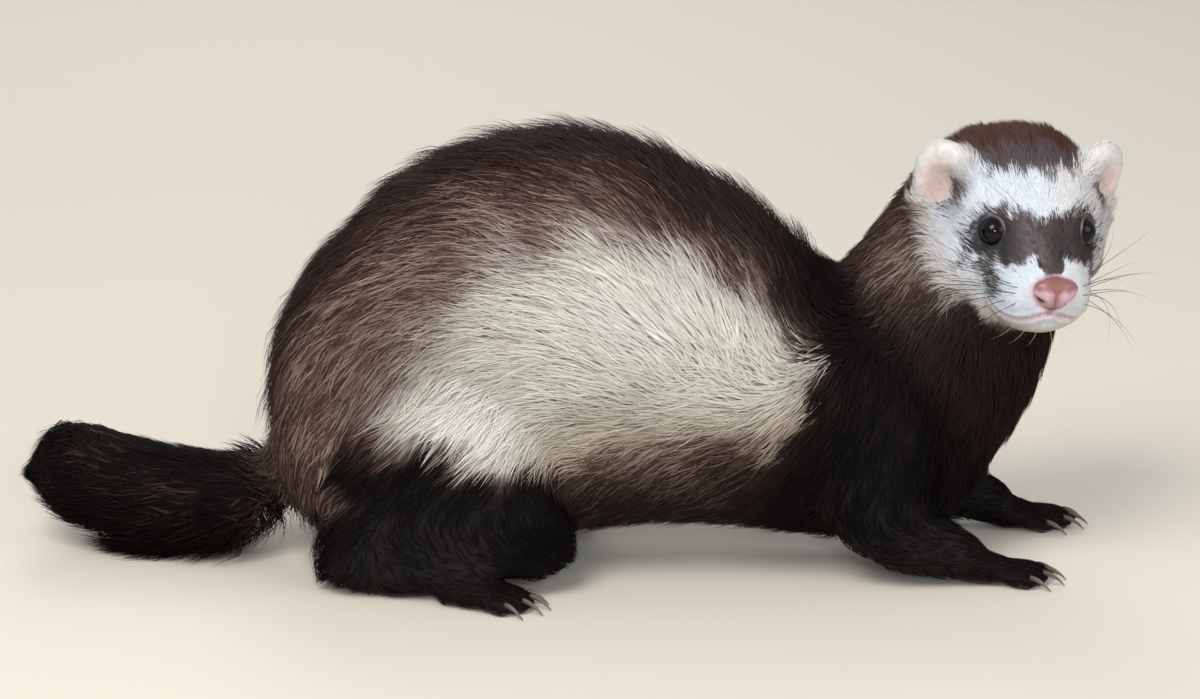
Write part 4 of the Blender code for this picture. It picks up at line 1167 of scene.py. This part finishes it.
def lids(name, side, columns=96):
    """The rim of the lids, drawn out to a corner at the front and the back of the eye."""
    out, far, dark = np.repeat(np.array(LID_PROFILE), columns, axis=0).T
    turn = np.tile(turns(columns), len(LID_PROFILE))
    corner, above = np.abs(np.cos(turn)) ** 9, np.maximum(0, np.sin(turn))
    angle = np.radians(57.0 - 5.5 * np.cos(2 * turn) + 4.5 * corner - 1.0 * above + out)
    heavy = 1 + 0.035 * above * bell(out - 10, 9)
    points = mirrored(EYE_PLACE, side) + ways_at(eye_axes(side), angle, turn) * (far * heavy)[:, None]
    colours = mix("lid", "lid_edge", np.minimum(1, dark + 0.5 * corner))
    obj = add_mesh(name, from_head(points), grid_faces(len(LID_PROFILE), columns), colours)
    dress(obj, "face_coat", "lid")


def nose_pad(rows=70, columns=96):
    """The bare pad of the nose, with comma-shaped nostrils each side of the groove."""
    sphere = ways_at(np.eye(3), *globe(rows, columns))
    points = sphere * NOSE_SIZE + NOSE_PLACE
    normals = unit(sphere / NOSE_SIZE)
    points[:, 0] *= 1 + NOSE_WIDENING * (points[:, 2] - NOSE_PLACE[2])
    rest = points.copy()
    hole = np.zeros(len(points))
    for side in BOTH:
        for centre, size, amount in NOSE_STROKES:
            points = points + press(rest, normals, mirrored(centre, side), size, amount)
        for centre, size, amount in NOSTRIL:
            hole = np.maximum(hole, blob(rest, mirrored(centre, side), size) * amount)
    groove = bell(line_gap(rest, NOSE_GROOVE), 0.55)
    points -= normals * (0.8 * groove)[:, None]
    brown = ease(-10.0, -8.2, rest[:, 2] + 0.25 * waves(rest, 2.5, 31))
    colours = mix("nose_pink", "nose_brown", np.clip(brown * 0.85 + bell(rest[:, 0], 1.2) * 0.75, 0, 0.9))
    # The groove and the pad's lower edge are darkened as painted shade, and the nostrils hold painted shade
    # inside them.
    colours = mix(colours, "nostril", groove * 0.25 + 0.5 * ease(-13.7, -14.6, rest[:, 2]))
    colours = mix(colours, "nostril", clamp(hole))
    obj = add_mesh("nose_pad", from_head(points), grid_faces(rows, columns), colours)
    dress(obj, "nose_skin", "nose", "nose")


def claws(sides=12, steps=12):
    """All claws as one piece: curved, flattened and tapering to a blunt point."""
    along, turn = np.repeat(np.arange(steps + 1) / steps, sides), np.tile(turns(sides), steps + 1)
    radius = CLAW_RADIUS * (1 - CLAW_TAPER * along**1.25)
    up = unit(np.stack([0 * along, 2 * CLAW_DROP * along, np.ones_like(along)], axis=1))
    shape = np.stack([0 * along, along, -CLAW_DROP * along * along], axis=1) * CLAW_LENGTH
    shape = shape + up * (radius * np.sin(turn))[:, None]
    shape[:, 0] += radius * CLAW_FLATNESS * np.cos(turn)
    points = np.concatenate([shape @ claw[:3, :3].T + claw[:3, 3] for claw in claw_frames()])
    count = len(points) // len(shape)
    tube = grid_faces(steps + 1, sides)
    faces = np.concatenate([tube + len(shape) * i for i in range(count)])
    tint = mix("claw_root", "claw", np.minimum(1, 0.2 + 1.5 * along))
    obj = add_mesh("claws", points, faces, np.tile(tint, (count, 1)))
    with editing(obj.data) as body:
        bmesh.ops.holes_fill(body, edges=[e for e in body.edges if e.is_boundary], sides=0)
    dress(obj, "claw", "claw")


def thread(root, way, bend, length, radius):
    """The points of one whisker: a thin tapering hair that bends."""
    across, turn, rings = unit(np.cross(way, (0.13, 0.2, 0.97))), turns(WHISKER_SIDES), []
    for along in np.arange(WHISKER_STEPS + 1) / WHISKER_STEPS:
        centre = root + way * length * along + bend * length * along * along
        top = unit(np.cross(unit(way + 2 * bend * along), across))
        rim = np.outer(np.cos(turn), across) + np.outer(np.sin(turn), top)
        rings.append(centre + rim * radius * (1 - 0.85 * along))
    return np.concatenate(rings)


def whiskers(skin):
    """Whiskers on both pads, over the eyes and under the chin."""
    draw = np.random.default_rng(40)
    tree, hairs = tree_of(skin.head), []
    for side in BOTH:
        for row, z in enumerate((-10.5, -12.6, -14.8)):
            for column, y in enumerate((14.5, 12.0, 9.2, 6.6)):
                spot = mirrored((9.5 + 0.25 * (14 - y), y, z), side) + draw.normal(0, 0.3, 3)
                way = np.array((side * 1.0, -0.1 - 0.2 * column, 0.32 - 0.34 * row)) + draw.normal(0, 0.07, 3)
                bend = np.array((side * -0.08, -0.30, -0.24 - 0.10 * row)) + draw.normal(0, 0.06, 3)
                hairs.append((spot, way, bend, draw.uniform(19, 30) + 2.0 * column, 0.11, "whisker"))
        for spot in ((7, 4, 8.5), (9, 3, 8.6)):
            way = np.array((side * 0.5, 0.1, 0.85)) + draw.normal(0, 0.08, 3)
            hairs.append((mirrored(spot, side), way, (side * 0.3, -0.3, -0.1), 13, 0.11, "whisker"))
    for x, y in ((-5, 13), (-2, 15), (2, 15), (5, 13), (7, 9), (-7, 9)):
        way = np.array((x * 0.12, 0.2, -1.0)) + draw.normal(0, 0.1, 3)
        hairs.append(((x, y, -24), way, (x * 0.03, -0.5, 0), 7, 0.06, "whisker_pale"))
    shapes = [
        thread(np.array(tree.find(spot)[0]), unit(way), np.array(bend), length, radius)
        for spot, way, bend, length, radius, _ in hairs
    ]
    tints = np.repeat([colour(hair[-1]) for hair in hairs], len(shapes[0]), axis=0)
    tube = grid_faces(WHISKER_STEPS + 1, WHISKER_SIDES)
    faces = np.concatenate([tube + len(shapes[0]) * i for i in range(len(hairs))])
    dress(add_mesh("whiskers", from_head(np.concatenate(shapes)), faces, tints), "face_coat", "whisker")


# The model

def make_skin():
    """The skin, laid in under the coat by the depth of the hair, with its face, ears and legs shaped."""
    obj = flesh_body()
    points = points_of(obj.data)
    share = np.where(coat_area(points) * (points[:, 2] > 12) + (points[:, 0] < -84) > 0, 0.6, 0.02)
    set_points(obj.data, relax(points, neighbour_table(obj.data), share, 60))
    remeshed(obj)
    sink_locks(obj)
    refine_face(obj)
    skin = Skin(obj)
    _, lift, _ = coat_form(skin)
    by_eye = sum(blob(skin.head, mirrored((16, 1.5, 1), side), (8, 8, 8)) for side in BOTH)
    core = core_share(skin.points) * skin.part("torso", "tail")
    depth = 0.75 * lift * (1 - core) * (1 - 0.8 * clamp(by_eye))
    depth = depth * ease(0.2, 2.5, skin.points[:, 2]) * (1 - clamp(1.5 * skin.part("ear")))
    skin.move(skin.points - skin.normals * skin.spread(depth, 6)[:, None])
    shape_face(skin)
    shape_ears(skin)
    fill_legs(skin)
    skin.points[:, 2] = np.maximum(skin.points[:, 2], LOWEST_SKIN)
    set_points(obj.data, skin.points)
    return skin


def unwrap(skin):
    """An unwrap of the skin's own shape, on which each tuft's patch lies."""
    skin.obj.data.uv_layers.new(name="OFBake")
    bpy.ops.object.select_all(action="DESELECT")
    skin.obj.select_set(True)
    bpy.context.view_layer.objects.active = skin.obj
    bpy.ops.object.mode_set(mode="EDIT")
    bpy.ops.mesh.select_all(action="SELECT")
    bpy.ops.uv.smart_project(angle_limit=math.radians(66), island_margin=0.003)
    bpy.ops.object.mode_set(mode="OBJECT")
    skin.read()


def make_coat(skin):
    """Undercoat and guard hairs of each part of the body."""
    coat = Coat(skin)
    on_head, front = face_zone(skin), ease(-11, -7, skin.head[:, 1])
    trunk, tail, neck = skin.part("torso"), skin.part("tail"), skin.part("neck") * (1 - on_head)
    legs, paws = skin.part("foreleg", "hindleg"), skin.part("forepaw", "hindpaw")
    fill = dict(scale=0.8, guard=-0.3, stand=0.66, broad=3.2, flat=0.22)
    under = dict(scale=0.95, stand=0.86, broad=1.15, flat=0.5)
    guard = dict(scale=1.2, guard=0.03, stand=1.08, broad=0.8, flat=0.7)
    for name, slot, where, count, rings, seed, clump, pull, more in (
        ("coat_face", "face_coat", on_head * front, 25000, 2, 21, 6, 0.25, {}),
        ("coat_head", "face_coat", on_head * (1 - front), 17000, 2, 22, 7, 0.3, {}),
        ("coat_fill", "pale_coat", trunk + tail * 1.2 + 0.7 * neck, 22000, 2, 29, 5, 0.15, fill),
        ("coat_under", "pale_coat", trunk, 36000, 2, 23, 7, 0.28, under),
        ("coat_guard", "pale_coat", trunk, 11000, 3, 24, 6, 0.45, guard),
        ("coat_neck", "dark_coat", neck, 9000, 2, 25, 8, 0.4, {}),
        ("coat_legs", "dark_coat", legs, 10000, 2, 26, 8, 0.4, {}),
        ("coat_paws", "dark_coat", paws, 7000, 2, 27, 5, 0.2, {}),
        ("coat_tail", "dark_coat", tail, 9000, 2, 28, 8, 0.5, {}),
    ):
        coat.grow(name, slot, where, count, rings, seed, clump, pull, **more)
    return coat


def make_model():
    skin = make_skin()
    unwrap(skin)
    coat = make_coat(skin)
    mesh = skin.obj.data
    paint(mesh, skin_colours(skin, coat.under, coat.guard, coat.share))
    mesh.shade_smooth()
    mesh.materials.clear()
    ride(skin.obj, "pale_coat", "skin", *FLESH)
    for name, side in SIDES.items():
        eyeball(f"eye_{name}", side)
        lids(f"lids_{name}", side)
    nose_pad()
    claws()
    whiskers(skin)


# Floor, light and camera

def aim_at(obj, place, target):
    obj.location = place
    obj.rotation_euler = (Vector(target) - Vector(place)).to_track_quat("-Z", "Y").to_euler()


def studio():
    """A pale floor and soft light from the upper left."""
    scene = bpy.context.scene
    bpy.ops.mesh.primitive_plane_add(size=6, location=(0, 0, 0))
    floor = bpy.context.object
    floor.name = "studio_floor"
    material, _, shader = shader_of("studio floor", 0.9, 0.2)
    shader.inputs["Base Color"].default_value = (0.66, 0.61, 0.53, 1)
    floor.data.materials.append(material)
    world = bpy.data.worlds.new("studio")
    world.use_nodes = True
    world.node_tree.nodes["Background"].inputs["Color"].default_value = (0.95, 0.97, 1, 1)
    world.node_tree.nodes["Background"].inputs["Strength"].default_value = 0.55
    scene.world = world
    for name, place, size, power, tint in (
        ("key", (-0.35, -0.75, 1.05), 0.7, 12.5, (1, 0.97, 0.93)),
        ("fill", (1.0, -0.7, 0.6), 0.8, 4, (0.93, 0.96, 1)),
        ("rim", (-0.2, 1.1, 0.9), 0.8, 5, (1, 1, 1)),
        ("catch", (0.1, -0.95, 0.42), 0.16, 2.6, (0.9, 0.96, 1)),
    ):
        light = bpy.data.lights.new(name, "AREA")
        light.shape, light.size, light.energy, light.color = "DISK", size, power, tint
        aim_at(add_object(name, light), place, (0.02, 0, 0.06))
    scene.view_settings.view_transform = "Standard"


def camera():
    """The photograph's point of view."""
    target, distance, elevation = Vector((0.0107, 0, 0.0655775)), 1.030, math.radians(16)
    lens = bpy.data.cameras.new("camera")
    lens.lens, lens.sensor_width, lens.clip_start = 103, 36, 0.01
    obj = add_object("camera", lens)
    aim_at(obj, target + Vector((0, -math.cos(elevation), math.sin(elevation))) * distance, target)
    bpy.context.scene.camera = obj


MATERIALS = materials()
make_model()
studio()
camera()
